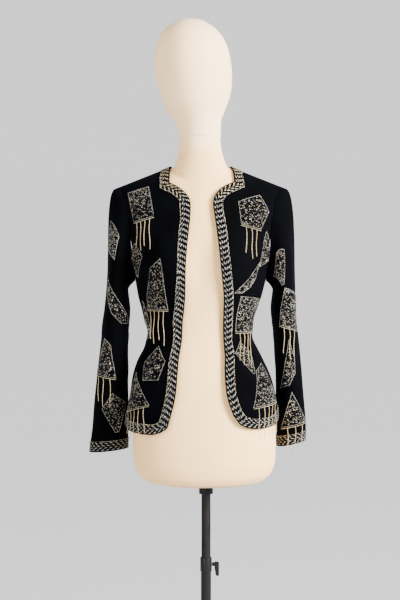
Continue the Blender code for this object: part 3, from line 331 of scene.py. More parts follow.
RIGHT = Side(
    name="right",
    sign=-1.0,
    edge=(
        Edge(0.7905, -0.0887),
        Edge(0.8027, -0.0852),
        Edge(0.8450, -0.0739),
        Edge(0.8950, -0.0671),
        Edge(0.9655, -0.0600),
        Edge(1.0114, -0.0555),
        Edge(1.0830, -0.0483),
        Edge(1.1366, -0.0470),
        Edge(1.2228, -0.0419),
        Edge(1.2937, -0.0359),
        Edge(1.3165, -0.0376),
        Edge(1.3385, -0.0541),
        Edge(1.3536, -0.0747),
        Edge(1.3591, -0.0866),
    ),
    hem=(
        Hem(20.0, 0.7925),
        Hem(24.5, 0.7850),
        Hem(33.0, 0.7740),
        Hem(45.0, 0.7725),
        Hem(65.0, 0.7760),
        Hem(90.0, 0.7880),
        Hem(130.0, 0.7930),
        Hem(180.0, 0.7950),
    ),
    rings=(
        Ring(0.717, -0.1905, -0.2840, 0.046, 0.034, -0.005),
        Ring(0.742, -0.1895, -0.2820, 0.045, 0.036, -0.004),
        Ring(0.774, -0.1890, -0.2775, 0.043, 0.039, -0.002),
        Ring(0.810, -0.1890, -0.2745, 0.039, 0.042, 0.0),
        Ring(0.849, -0.1885, -0.2710, 0.034, 0.045, 0.0),
        Ring(0.885, -0.1890, -0.2665, 0.030, 0.048, 0.0),
        Ring(0.917, -0.1875, -0.2630, 0.026, 0.051, 0.0),
        Ring(0.952, -0.1885, -0.2580, 0.022, 0.053, 0.0),
        Ring(0.987, -0.1865, -0.2535, 0.018, 0.056, 0.0),
        Ring(1.022, -0.1850, -0.2510, 0.015, 0.058, 0.0),
        Ring(1.061, -0.1825, -0.2450, 0.012, 0.060, 0.0),
        Ring(1.105, -0.1870, -0.2400, 0.008, 0.063, 0.0),
    ),
)
LEFT = Side(
    name="left",
    sign=1.0,
    edge=(
        Edge(0.7990, 0.0759),
        Edge(0.8065, 0.0692),
        Edge(0.8340, 0.0555),
        Edge(0.8657, 0.0467),
        Edge(0.9054, 0.0431),
        Edge(0.9724, 0.0416),
        Edge(1.0645, 0.0403),
        Edge(1.1366, 0.0353),
        Edge(1.1999, 0.0287),
        Edge(1.2462, 0.0242),
        Edge(1.2931, 0.0166),
        Edge(1.3164, 0.0167),
        Edge(1.3332, 0.0247),
        Edge(1.3484, 0.0411),
        Edge(1.3615, 0.0670),
    ),
    hem=(
        Hem(20.0, 0.8030),
        Hem(26.0, 0.7950),
        Hem(34.0, 0.7875),
        Hem(48.0, 0.7855),
        Hem(64.0, 0.7890),
        Hem(90.0, 0.8060),
        Hem(130.0, 0.8020),
        Hem(180.0, 0.7950),
    ),
    rings=(
        Ring(0.733, 0.1738, 0.2444, 0.060, 0.044, 0.008),
        Ring(0.758, 0.1730, 0.2455, 0.058, 0.044, 0.006),
        Ring(0.785, 0.1718, 0.2455, 0.055, 0.045, 0.002),
        Ring(0.820, 0.1712, 0.2425, 0.051, 0.047, 0.0),
        Ring(0.850, 0.1708, 0.2395, 0.047, 0.049, 0.0),
        Ring(0.885, 0.1702, 0.2360, 0.041, 0.050, 0.0),
        Ring(0.915, 0.1690, 0.2330, 0.035, 0.052, 0.0),
        Ring(0.950, 0.1660, 0.2290, 0.029, 0.054, 0.0),
        Ring(0.992, 0.1629, 0.2240, 0.022, 0.057, 0.0),
        Ring(1.030, 0.1590, 0.2190, 0.017, 0.059, 0.0),
        Ring(1.065, 0.1560, 0.2170, 0.013, 0.060, 0.0),
        Ring(1.105, 0.1600, 0.2150, 0.009, 0.060, 0.0),
    ),
)


# Curves and lines


def through(keys: Array, values: Array, at: Array) -> Array:
    """A smooth curve through points, read at some keys.

    Each stretch is a cubic whose slopes at its ends are those of the points' neighbours.

    Args:
        keys: rising keys of the points.
        values: one value or one row of values for each key.
        at: where the curve is read.

    Returns:
        The values there, with the shape of ``at`` and then that of one value.
    """
    slopes = np.gradient(values, keys, axis=0)
    at = np.clip(at, keys[0], keys[-1])
    k = np.clip(np.searchsorted(keys, at) - 1, 0, len(keys) - 2)
    span = keys[k + 1] - keys[k]
    t = (at - keys[k]) / span
    more = (1,) * (values.ndim - 1)
    span, t = span.reshape(span.shape + more), t.reshape(t.shape + more)
    start = values[k] * (1 + 2 * t) + slopes[k] * span * t
    end = values[k + 1] * (3 - 2 * t) - slopes[k + 1] * span * (1 - t)
    return start * (1 - t) ** 2 + end * t**2


def column(rows: Sequence, name: str, at: Array, key: str = "z") -> Array:
    """A column of a table, read at some values of its key on a smooth curve.

    Args:
        rows: the table.
        name: the column.
        at: where it is read.
        key: the column of keys.

    Returns:
        The values there.
    """
    keys = np.array([getattr(row, key) for row in rows])
    values = np.array([getattr(row, name) for row in rows])
    return through(keys, values, np.asarray(at, float))


def signed_power(value: Array, power: float) -> Array:
    """A power that keeps the value's sign."""
    return np.sign(value) * np.abs(value) ** power


def unit(vectors: Array) -> Array:
    """Vectors at length one."""
    return vectors / np.maximum(np.linalg.norm(vectors, axis=-1, keepdims=True), TINY)


def stages(*stops: tuple[float, int]) -> Array:
    """Even steps from each stop to the next, for stops given as (value, cells before it).

    Args:
        stops: the stops, in order.

    Returns:
        All the steps' values.
    """
    values = [np.array([stops[0][0]])]
    for (start, _), (end, cells) in zip(stops, stops[1:]):
        values.append(np.linspace(start, end, cells + 1)[1:])
    return np.concatenate(values)


def lengths_along(points: Array) -> Array:
    """Length to each point of a line of points."""
    steps = np.linalg.norm(np.diff(points, axis=0), axis=1)
    return np.concatenate([[0.0], np.cumsum(steps)])


# Surfaces on which beads lie


class Surface(Protocol):
    """What gives a point for each place on a piece of cloth."""

    outward: float

    def points(self, places: Array) -> Array:
        """Points at some places."""


@dataclass(frozen=True)
class BodyBlock:
    """The shape of the body or of what is worn on it, from its lower end to the shoulders."""

    sections: tuple[Section, ...]
    shoulder_half: float
    ridge_z: float
    bust: float
    creases: tuple[Crease, ...] = ()
    outward: float = 1.0

    def ridge(self, across: Array) -> Array:
        """Height of the shoulder ridge: it falls evenly from the side of the neck."""
        return self.ridge_z - RIDGE_SLOPE * (np.abs(across) - NECK_HALF)

    def half_width(self, height: Array, rise: Array) -> Array:
        """Half the width: the section's, growing to the shoulder's with the rise."""
        low = column(self.sections, "half_width", np.minimum(height, UNDERARM_Z))
        return low + (self.shoulder_half - low) * rise

    def depth(self, height: Array, rise: Array, front: Array) -> Array:
        """Depth of the front or back: the section's, falling to none at the ridge.

        Args:
            height: height along the cloth.
            rise: 0 at the underarm to 1 at the ridge.
            front: true where the front's depth is wanted.

        Returns:
            The depths.
        """
        level = np.minimum(height, UNDERARM_Z)
        fall = np.sqrt(np.clip(1 - rise**2, 0, 1))
        chest = column(self.sections, "front", level) * fall**CHEST_FALL
        return np.where(front, chest, column(self.sections, "back", level) * fall**BACK_FALL)

    def bust_reach(self, across: Array, z: Array) -> Array:
        """How far the bust stands forward: a round hill on each side."""
        side = (np.abs(across) - BUST_SIDE) / BUST_WIDTH
        return self.bust * np.exp(-(side**2) - ((z - BUST_Z) / BUST_HEIGHT) ** 2)

    def points(self, places: Array) -> Array:
        """Points at (angle, height), on ovals that close to the shoulder ridge.

        Args:
            places: (angle, height along the cloth), any shape with 2 last.

        Returns:
            Points with the creases pressed in.
        """
        angle, height = places[..., 0], places[..., 1]
        turn = np.clip((height - UNDERARM_Z) / YOKE_LENGTH, 0, 1) * np.pi / 2
        rise = np.sin(turn)
        across = self.half_width(height, rise) * signed_power(np.sin(angle), ROUNDNESS)
        top = self.ridge(across)
        z = np.where(height < UNDERARM_Z, height, UNDERARM_Z + (top - UNDERARM_Z) * rise)
        forward = signed_power(np.cos(angle), ROUNDNESS)
        y = -self.depth(height, rise, forward > 0) * forward
        y = y - np.where(forward > 0, self.bust_reach(across, z) * forward, 0.0)
        middle = column(self.sections, "centre_x", np.minimum(height, UNDERARM_Z))
        press = trough_depth(self.creases, angle, z)
        x = middle + across - press * np.sin(angle)
        return np.stack([x, y + press * np.cos(angle), z], axis=-1)

    def place(self, x: Array, z: Array) -> Array:
        """The place on the front that is seen at x and z from the front.

        Args:
            x: how far to the wearer's left.
            z: how high.

        Returns:
            Places as (angle, height).
        """
        x, z = np.broadcast_arrays(np.asarray(x, float), np.asarray(z, float))
        across = x - column(self.sections, "centre_x", np.minimum(z, UNDERARM_Z))
        rise = np.clip((z - UNDERARM_Z) / (self.ridge(across) - UNDERARM_Z), 0, 1)
        turned = UNDERARM_Z + YOKE_LENGTH * np.arcsin(rise) * 2 / np.pi
        height = np.where(z < UNDERARM_Z, z, turned)
        share = np.clip(across / self.half_width(height, rise), -1, 1)
        return np.stack([np.arcsin(signed_power(share, 1 / ROUNDNESS)), height], axis=-1)

    def place_behind(self, across: Array, depth: Array) -> Array:
        """The places on the back at distances beside and behind the middle, by halving.

        Args:
            across: distances beside the middle.
            depth: distances behind the middle.

        Returns:
            Places as (angle, height), on the wearer's left.
        """
        low, high = np.zeros_like(across), np.ones_like(across)
        at = np.full_like(across, UNDERARM_Z)
        for _ in range(HALVINGS):
            half = (low + high) / 2
            rise = np.sin(half * np.pi / 2)
            share = np.clip(across / self.half_width(at, rise), 0, 1)
            angle = np.arcsin(share ** (1 / ROUNDNESS))
            reach = self.depth(at, rise, np.zeros_like(across, bool)) * np.cos(angle) ** ROUNDNESS
            low, high = np.where(reach > depth, half, low), np.where(reach > depth, high, half)
        return np.stack([np.pi - angle, UNDERARM_Z + YOKE_LENGTH * (low + high) / 2], axis=-1)

    def outer_y(self, x: Array, z: Array, forward: bool) -> Array:
        """How far forward or back the cloth stands at a place seen from the front.

        Args:
            x: how far to the wearer's left.
            z: how high.
            forward: whether the front is meant.

        Returns:
            The cloth's y.
        """
        at = self.place(x, z)
        if not forward:
            at[..., 0] = np.pi - at[..., 0]
        return self.points(at)[..., 1]


def trough_depth(creases: Sequence[Crease], angle: Array, z: Array) -> Array:
    """How deep the creases press at some places: the sum of soft troughs.

    Each is depth times exp(-(away / half angle)^2 - (height off its middle line / half height)^2),
    with a middle line that rises with the angle where the crease slants.

    Args:
        creases: the troughs.
        angle: angles round the piece.
        z: heights on it.

    Returns:
        The depth at each place.
    """
    total = np.zeros(np.broadcast(angle, z).shape)
    for crease in creases:
        away = np.angle(np.exp(1j * (angle - np.radians(crease.angle))))
        off = (z - crease.z - crease.slant * away * BODY_RADIUS) / crease.half_height
        total += crease.depth * np.exp(-((away / np.radians(crease.half_angle)) ** 2) - off**2)
    return total


@dataclass
class SleeveSurface:
    """A sleeve as a fine grid of points, with rows at heights that fall to the cuff."""

    grid: Array
    heights: Array
    outward: float
    side: Side

    def points(self, places: Array) -> Array:
        """Points at (turn, height), read evenly between the grid's four nearest points.

        Args:
            places: (turn, height), any shape with 2 last.

        Returns:
            Points on the sleeve.
        """
        rows, columns = self.grid.shape[:2]
        at = places[..., 1]
        row = np.interp(-at, -self.heights, np.arange(rows))
        turn = np.mod(places[..., 0] / (2 * np.pi), 1.0) * columns
        j, i = np.clip(row.astype(int), 0, rows - 2), turn.astype(int) % columns
        v, u = (row - j)[..., None], (turn - np.floor(turn))[..., None]
        k = (i + 1) % columns
        low = self.grid[j, i] * (1 - u) + self.grid[j, k] * u
        high = self.grid[j + 1, i] * (1 - u) + self.grid[j + 1, k] * u
        return low * (1 - v) + high * v

    def outer_y(self, x: Array, z: Array, forward: bool) -> Array:
        """How far forward or back the sleeve stands at a place seen from the front.

        Args:
            x: how far to the wearer's left.
            z: how high.
            forward: whether the front is meant.

        Returns:
            The sleeve's y, on its ovals.
        """
        rings = self.side.rings
        inner, outer = column(rings, "inner_x", z), column(rings, "outer_x", z)
        share = (x - (inner + outer) / 2) / (np.abs(outer - inner) / 2)
        reach = np.sqrt(np.clip(1 - share**2, 0, 1)) * column(rings, "half_y", z)
        return column(rings, "middle_y", z) + reach * (-1 if forward else 1)


@dataclass(frozen=True)
class Frames:
    """Points on a surface with directions across it, up it and out of it."""

    point: Array
    across: Array
    up: Array
    out: Array


def frames_on(surface: Surface, places: Array) -> Frames:
    """Points and directions of a surface at some places, from small steps to each side.

    Args:
        surface: the surface.
        places: the places, any shape with 2 last.

    Returns:
        The points and directions.
    """
    step = 2e-3
    moves = np.array([[step / BODY_RADIUS, 0.0], [0.0, step]])
    across, up = (surface.points(places + m) - surface.points(places - m) for m in moves)
    out = unit(np.cross(across, up)) * surface.outward
    return Frames(surface.points(places), unit(across), unit(up), out)


def step_aside(surface: Surface, line: Array, width: Array) -> Array:
    """A line moved sideways by a width on the surface, mitred where the line turns.

    The move in space is out x run x width, and the step between places that gives it is
    found by least squares from the surface's two slopes.

    Args:
        surface: the surface.
        line: (count, 2) places.
        width: one width or one for each place, below 0 for the line's other side.

    Returns:
        The moved line's places.
    """
    steps = unit(np.diff(surface.points(line), axis=0))
    run = np.concatenate([steps[:1], (steps[1:] + steps[:-1]) / 2, steps[-1:]])
    mitre = 1 / np.maximum(np.linalg.norm(run, axis=1, keepdims=True), MITRE_LEAST)
    small = 1e-4
    moves = np.array([[small, 0.0], [0.0, small]])
    slope = [(surface.points(line + m) - surface.points(line - m)) / (2 * small) for m in moves]
    frame = np.stack(slope, axis=-1)
    out = unit(np.cross(slope[0], slope[1]))
    aside = np.cross(out, run * mitre) * mitre * np.reshape(width, (-1, 1))
    square = np.einsum("nij,nik->njk", frame, frame)
    push = np.einsum("nij,ni->nj", frame, aside)
    return line + np.linalg.solve(square, push[..., None])[..., 0]


def evenly(surface: Surface, line: Array, spacing: float, smooth: bool = False) -> Array:
    """A line of places read again at even lengths along the surface.

    Args:
        surface: the surface.
        line: (count, 2) places.
        spacing: the length of a step, nearly.
        smooth: whether the line bends smoothly through its places.

    Returns:
        (count, 2) places, with the line's own ends.
    """
    lengths = lengths_along(surface.points(line))
    count = max(2, int(round(lengths[-1] / spacing)) + 1)
    wanted = np.linspace(0, lengths[-1], count)
    if smooth:
        return through(lengths, line, wanted)
    return np.stack([np.interp(wanted, lengths, line[:, k]) for k in (0, 1)], axis=-1)


# The jacket's cut


def refine(grid: Array, cells: int, breaks: Sequence[int] = (), wrap: bool = False) -> Array:
    """A grid with more cells, on smooth curves through its rows and then its columns.

    Args:
        grid: (rows, columns, values).
        cells: how many new cells stand in place of one.
        breaks: rows at which the line up the grid may turn sharply.
        wrap: whether the last column joins the first.

    Returns:
        The finer grid. A wrapped one has no doubled column.
    """
    stops = [0, *breaks, len(grid) - 1]
    parts = []
    for low, high in zip(stops, stops[1:]):
        keys = np.arange(low, high + 1, dtype=float)
        wanted = np.linspace(low, high, (high - low) * cells + 1)
        part = through(keys, grid[low : high + 1], wanted)
        parts.append(part if low == 0 else part[1:])
    tall = np.concatenate(parts)
    columns = tall.shape[1]
    if wrap:
        tall = np.concatenate([tall[:, -2:], tall, tall[:, :3]], axis=1)
        keys = np.arange(-2, columns + 3, dtype=float)
        wanted = np.linspace(0, columns, columns * cells + 1)[:-1]
    else:
        keys = np.arange(columns, dtype=float)
        wanted = np.linspace(0, columns - 1, (columns - 1) * cells + 1)
    return np.swapaxes(through(keys, np.swapaxes(tall, 0, 1), wanted), 0, 1)


@dataclass
class Cut:
    """The places of the jacket's cut pieces on the body, and the points of its sleeves."""

    body: BodyBlock
    side_rows: int = 9
    armhole_rows: int = 10
    chest_rows: int = 4
    round_rows: int = 4
    shoulder_cells: int = 5
    back_columns: int = 6
    round_start: float = 1.253
    armhole_front: float = math.radians(27.0)
    armhole_back: float = math.radians(20.0)
    armhole_ease: float = 1.3
    scoop_power: float = 0.7
    ridge_points: int = 200
    hem_points: int = 140
    neck_points: int = 23
    neck_fall_rows: float = 0.030
    cap_steps: tuple[float, ...] = (0.0, 0.09, 0.22, 0.40, 0.62, 0.82)
    cap_length: float = 0.245
    cap_puff: float = 0.30
    cap_puff_least: float = 0.010
    cap_fall: float = 0.22
    cap_fall_low: float = 0.75
    cap_lean: float = 0.35
    cells: int = 5
    top: float = field(init=False, default=UNDERARM_Z + YOKE_LENGTH)

    def neck_angle(self) -> float:
        """The angle at which the ridge meets the side of the neck."""
        return math.asin((NECK_HALF / self.body.shoulder_half) ** (1 / ROUNDNESS))

    def hem_line(self, side: Side, angles: Array) -> Array:
        """The hem at some angles from the middle of the front."""
        z = column(side.hem, "z", np.degrees(angles), key="angle")
        return np.stack([side.sign * angles, z], axis=-1)

    def outer_side(self, side: Side, back: bool) -> Array:
        """Side seam and armhole: straight up, then a scoop of sin(pi t) to a power.

        Args:
            side: the side of the jacket.
            back: whether the line belongs to the back.

        Returns:
            Places from the hem to the shoulder.
        """
        hem_z = float(column(side.hem, "z", np.array(90.0), key="angle"))
        seam = stages((hem_z, 0), (hem_z + BAND, 1), (UNDERARM_Z, self.side_rows))
        climb = np.linspace(0, 1, self.armhole_rows + 1)[1:] ** self.armhole_ease
        depth = self.armhole_back if back else self.armhole_front
        scoop = depth * np.sin(np.pi * climb) ** self.scoop_power
        angle = np.pi / 2 - np.concatenate([np.zeros_like(seam), scoop])
        height = np.concatenate([seam, UNDERARM_Z + YOKE_LENGTH * climb])
        return np.stack([side.sign * (np.pi - angle if back else angle), height], axis=-1)

    def shoulder_seam(self, side: Side, back: bool) -> Array:
        """The shoulder seam from the neck, with one cell as wide as the beaded band.

        Args:
            side: the side of the jacket.
            back: whether the line belongs to the back.

        Returns:
            Places from the neck outwards.
        """
        ridge = np.linspace(self.neck_angle(), np.pi / 2, self.ridge_points)
        top = np.stack([ridge, np.full_like(ridge, self.top)], axis=-1)
        lengths = lengths_along(self.body.points(top))
        stops = stages((0.0, 0), (NECK_BAND, 1), (lengths[-1], self.shoulder_cells))
        angle = np.interp(stops, lengths, ridge)
        height = np.full_like(angle, self.top)
        return np.stack([side.sign * (np.pi - angle if back else angle), height], axis=-1)

    def edge_line(self, side: Side) -> Array:
        """The front edge as a fine line, from the hem's corner to the corner of the neck.

        Args:
            side: the side of the jacket.

        Returns:
            Places from the hem up.
        """
        marks = np.array([[mark.x, mark.z] for mark in side.edge])
        line = self.body.place(marks[:, 0], marks[:, 1])
        return evenly(self.body, line, LINE_STEP, smooth=True)

    def front_edge(self, side: Side) -> Array:
        """The front edge and the neck at the rows of the panel.

        Args:
            side: the side of the jacket.

        Returns:
            One place for each row.
        """
        dense = self.edge_line(side)
        lengths = lengths_along(self.body.points(dense))
        underarm, start = np.interp([UNDERARM_Z, self.round_start], dense[:, 1], lengths)
        stops = stages(
            (0.0, 0),
            (BAND, 1),
            (underarm, self.side_rows),
            (start, self.chest_rows),
            (lengths[-1], self.round_rows),
        )
        front = through(lengths, dense, stops)
        beside = np.linspace(0, 1, self.armhole_rows - self.chest_rows - self.round_rows + 1)
        neck_point = self.shoulder_seam(side, back=False)[0]
        return np.concatenate([front, front[-1] + (neck_point - front[-1]) * beside[1:, None]])

    def front_band(self, side: Side) -> Array:
        """The path of a front's beaded band: along the hem, up the edge and round the neck.

        Args:
            side: the side of the jacket.

        Returns:
            Places from the side seam to the shoulder.
        """
        edge = self.edge_line(side)
        start = abs(edge[0, 0])
        hem = self.hem_line(side, np.linspace(np.pi / 2, start, self.hem_points))
        hem[-1] = edge[0]
        neck_point = self.shoulder_seam(side, back=False)[0]
        share = np.linspace(0, 1, self.neck_points + 1)[1:, None]
        rest = edge[-1] + (neck_point - edge[-1]) * share
        return np.concatenate([evenly(self.body, hem, LINE_STEP), edge[1:], rest])

    def front_places(self, side: Side) -> Array:
        """The places of a front: its first column is the edge, its last row the shoulder.

        Args:
            side: the side of the jacket.

        Returns:
            (rows, columns, 2) places.
        """
        inner, outer = self.front_edge(side), self.outer_side(side, back=False)
        top = self.shoulder_seam(side, back=False)
        start = abs(inner[0, 0])
        corner = BAND / self.body.sections[0].half_width
        angles = stages((start, 0), (start + corner, 1), (np.pi / 2, self.shoulder_cells))
        hem = self.hem_line(side, angles)
        hem[0] = inner[0]
        places = np.zeros((len(inner), len(hem), 2))
        places[:, 0], places[:, -1], places[0], places[-1] = inner, outer, hem, top
        places[1, 1:-1] = hem[1:-1] + [0.0, BAND]
        widths = np.linspace(BAND, NECK_BAND, len(inner))
        places[1:-1, 1] = step_aside(self.body, inner, -widths * side.sign)[1:-1]
        places[1, 1] = inner[1] + hem[1] - hem[0]
        places[1:, 1:] = self.fill(places[1:, 1:])
        return places

    def neck_line(self, cells: int) -> Array:
        """The back's half of the neck, from its middle to the shoulder, as an oval."""
        turn = np.linspace(0, np.pi / 2, cells + 1)
        return self.body.place_behind(NECK_HALF * np.sin(turn), NECK_BACK_DEPTH * np.cos(turn))

    def half_back(self, side: Side) -> Array:
        """The places of half of the back, from its middle to its side and shoulder.

        Args:
            side: the side of the jacket.

        Returns:
            (rows, columns, 2) places.
        """
        seam = self.shoulder_seam(side, back=True)[-2::-1]
        outer = np.concatenate([self.outer_side(side, back=True), seam])
        neck = self.neck_line(self.back_columns)
        neck[:, 0] *= side.sign
        neck[-1] = outer[-1]
        hem = self.hem_line(side, np.linspace(np.pi, np.pi / 2, self.back_columns + 1))
        start, end = hem[0, 1], neck[0, 1]
        levels = stages(
            (start, 0),
            (start + BAND, 1),
            (UNDERARM_Z, self.side_rows),
            (end - NECK_BAND - self.neck_fall_rows, self.armhole_rows),
            (end - NECK_BAND, self.shoulder_cells),
            (end, 1),
        )
        inner = np.stack([np.full_like(levels, side.sign * np.pi), levels], axis=-1)
        places = np.zeros((len(inner), len(hem), 2))
        places[:, 0], places[:, -1], places[0], places[-1] = inner, outer, hem, neck
        share = np.linspace(0, 1, self.back_columns + 1)[1:-1, None]
        places[1, 1:-1] = hem[1:-1] + [0.0, BAND]
        fall = (1 - share) * (inner[-2] - inner[-1]) + share * (outer[-2] - outer[-1])
        places[-2, 1:-1] = neck[1:-1] + fall
        places[1:-1] = self.fill(places[1:-1])
        return places

    def back_places(self) -> Array:
        """The places of the back, from the wearer's left side seam to the right one.

        Returns:
            (rows, columns, 2) places, past 180 degrees on the right half.
        """
        left, right = self.half_back(LEFT), self.half_back(RIGHT)
        right[..., 0] += 2 * np.pi
        return np.concatenate([left[:, ::-1], right[:, 1:]], axis=1)

    @staticmethod
    def fill(block: Array) -> Array:
        """A grid between its four edges: each point blends the edges that face each other.

        Args:
            block: (rows, columns, 2) places, of which the four edges are set.

        Returns:
            The same grid with its inside filled.
        """
        shares = []
        for first, second in ((block[:, 0], block[:, -1]), (block[0], block[-1])):
            runs = [lengths_along(edge * [BODY_RADIUS, 1.0]) for edge in (first, second)]
            shares.append(sum(run / run[-1] for run in runs) / 2)
        up, over = shares[0][:, None, None], shares[1][None, :, None]
        sides = (1 - over) * block[:, :1] + over * block[:, -1:]
        ends = (1 - up) * block[:1] + up * block[-1:]
        corners = (1 - up) * ((1 - over) * block[0, 0] + over * block[0, -1])
        return sides + ends - corners - up * ((1 - over) * block[-1, 0] + over * block[-1, -1])

    def sleeve(self, side: Side) -> SleeveSurface:
        """A sleeve's surface: ovals below, and a cap of cubic curves from the armhole.

        Args:
            side: the side of the jacket.

        Returns:
            The surface, with its creases pressed in.
        """
        rows = slice(self.side_rows + 1, self.side_rows + self.armhole_rows + 2)
        front = self.body.points(self.outer_side(side, back=False))[rows]
        back = self.body.points(self.outer_side(side, back=True))[rows]
        loop = np.concatenate([front[:-1], back[:0:-1]])
        turns = np.linspace(0, 2 * np.pi, len(loop), endpoint=False)
        levels = np.array([ring.z for ring in side.rings[::-1]])
        value = {f.name: column(side.rings, f.name, levels)[:, None] for f in fields(Ring)[1:]}
        middle = (value["inner_x"] + value["outer_x"]) / 2
        reach = np.abs(value["outer_x"] - value["inner_x"]) / 2
        x = middle - side.sign * reach * np.cos(turns)
        y = value["middle_y"] - value["half_y"] * np.sin(turns)
        rings = np.stack([x, y, levels[:, None] - value["tilt"] * np.cos(turns)], axis=-1)
        low = (1 + np.cos(turns)) / 2
        fall = -self.cap_fall - self.cap_fall_low * low**2
        lean = -self.cap_lean * np.sin(turns)
        away = unit(np.stack([np.full_like(low, side.sign), lean, fall], axis=-1))
        loop = loop + away * SLEEVE_GAP
        down = unit(rings[1] - rings[0])
        length = np.linalg.norm(rings[0] - loop, axis=1, keepdims=True)
        cap = [
            loop * (1 + 2 * t) * (1 - t) ** 2
            + away * (self.cap_puff * length + self.cap_puff_least) * t * (1 - t) ** 2
            + rings[0] * t * t * (3 - 2 * t)
            + down * length * t * t * (t - 1)
            for t in self.cap_steps
        ]
        coarse = np.concatenate([np.array(cap), rings])
        cap_heights = levels[0] + self.cap_length * (1 - np.array(self.cap_steps))
        labels = np.concatenate([cap_heights, levels])
        fine = refine(coarse, self.cells, wrap=True)
        at = np.linspace(0, len(labels) - 1, len(fine))
        heights = np.interp(at, np.arange(len(labels)), labels)
        fine_turns = np.linspace(0, 2 * np.pi, fine.shape[1], endpoint=False)
        out = grid_normals(fine, wrap=True) * -side.sign
        press = trough_depth(SLEEVE_CREASES, fine_turns[None], heights[:, None])
        fine = fine - out * press[..., None]
        return SleeveSurface(fine, heights, side.sign, side)


def grid_normals(points: Array, wrap: bool = False) -> Array:
    """Directions out of a grid, from the cross product of its rows' and columns' slopes.

    Args:
        points: (rows, columns, 3).
        wrap: whether the last column joins the first.

    Returns:
        A direction for each point.
    """
    wide = np.concatenate([points[:, -1:], points, points[:, :1]], axis=1) if wrap else points
    over = np.gradient(wide, axis=1)[:, 1:-1] if wrap else np.gradient(wide, axis=1)
    return unit(np.cross(over, np.gradient(points, axis=0)))


# Meshes


def grid_faces(rows: int, columns: int, wrap: bool = False) -> Array:
    """Four corners for each cell of a grid, counted row by row.

    Args:
        rows: how many rows of points.
        columns: how many columns of points.
        wrap: whether the last column joins the first.

    Returns:
        (cells, 4) corners.
    """
    j = np.arange(rows - 1)[:, None]
    i = np.arange(columns if wrap else columns - 1)[None]
    k = (i + 1) % columns
    corners = [j * columns + i, j * columns + k, (j + 1) * columns + k, (j + 1) * columns + i]
    return np.stack(np.broadcast_arrays(*corners), axis=-1).reshape(-1, 4)


def add_mesh(name: str, points: Array, faces: Array, finish: bpy.types.Material) -> bpy.types.Object:
    """A mesh object at the origin from whole arrays, shaded smooth.

    Args:
        name: the piece's name.
        points: (count, 3).
        faces: (count, 4) corners, turned outwards.
        finish: its material.

    Returns:
        The new object.
    """
    mesh = bpy.data.meshes.new(name)
    mesh.vertices.add(len(points))
    mesh.vertices.foreach_set("co", points.astype(np.float32).ravel())
    mesh.loops.add(faces.size)
    mesh.loops.foreach_set("vertex_index", faces.astype(np.int32).ravel())
    mesh.polygons.add(len(faces))
    mesh.polygons.foreach_set("loop_start", np.arange(0, faces.size, 4, dtype=np.int32))
    mesh.update(calc_edges=True)
    mesh.shade_smooth()
    mesh.materials.append(finish)
    made = bpy.data.objects.new(name, mesh)
    bpy.context.scene.collection.objects.link(made)
    return made


def close_mesh(piece: bpy.types.Object, sharp: float = 180.0) -> None:
    """Merges doubled points, turns all faces out and marks edges sharper than an angle.

    Args:
        piece: the piece to close.
        sharp: the angle in degrees.
    """
    work = bmesh.new()
    work.from_mesh(piece.data)
    bmesh.ops.remove_doubles(work, verts=work.verts, dist=MERGE)
    bmesh.ops.holes_fill(work, edges=[e for e in work.edges if e.is_boundary], sides=0)
    bmesh.ops.recalc_face_normals(work, faces=work.faces)
    if work.calc_volume(signed=True) < 0:
        bmesh.ops.reverse_faces(work, faces=work.faces)
    work.to_mesh(piece.data)
    work.free()
    piece.data.shade_smooth()
    piece.data.set_sharp_from_angle(angle=math.radians(sharp))


# Finishes


class Sock:
    """A socket's value, on which arithmetic adds Math nodes."""

    def __init__(self, nodes: "Nodes", link: bpy.types.NodeSocket) -> None:
        """Keeps the material's nodes and the socket."""
        self.nodes = nodes
        self.link = link

    def _math(self, operation: str, first: object, second: object) -> "Sock":
        """One Math node on two values."""
        return self.nodes.make("ShaderNodeMath", {"operation": operation}, {0: first, 1: second})

    def __add__(self, other: object) -> "Sock":
        """The sum."""
        return self._math("ADD", self, other)

    def __radd__(self, other: object) -> "Sock":
        """The sum, from the right."""
        return self._math("ADD", other, self)

    def __sub__(self, other: object) -> "Sock":
        """The difference."""
        return self._math("SUBTRACT", self, other)

    def __rsub__(self, other: object) -> "Sock":
        """The difference, from the right."""
        return self._math("SUBTRACT", other, self)

    def __mul__(self, other: object) -> "Sock":
        """The product."""
        return self._math("MULTIPLY", self, other)

    def __rmul__(self, other: object) -> "Sock":
        """The product, from the right."""
        return self._math("MULTIPLY", other, self)


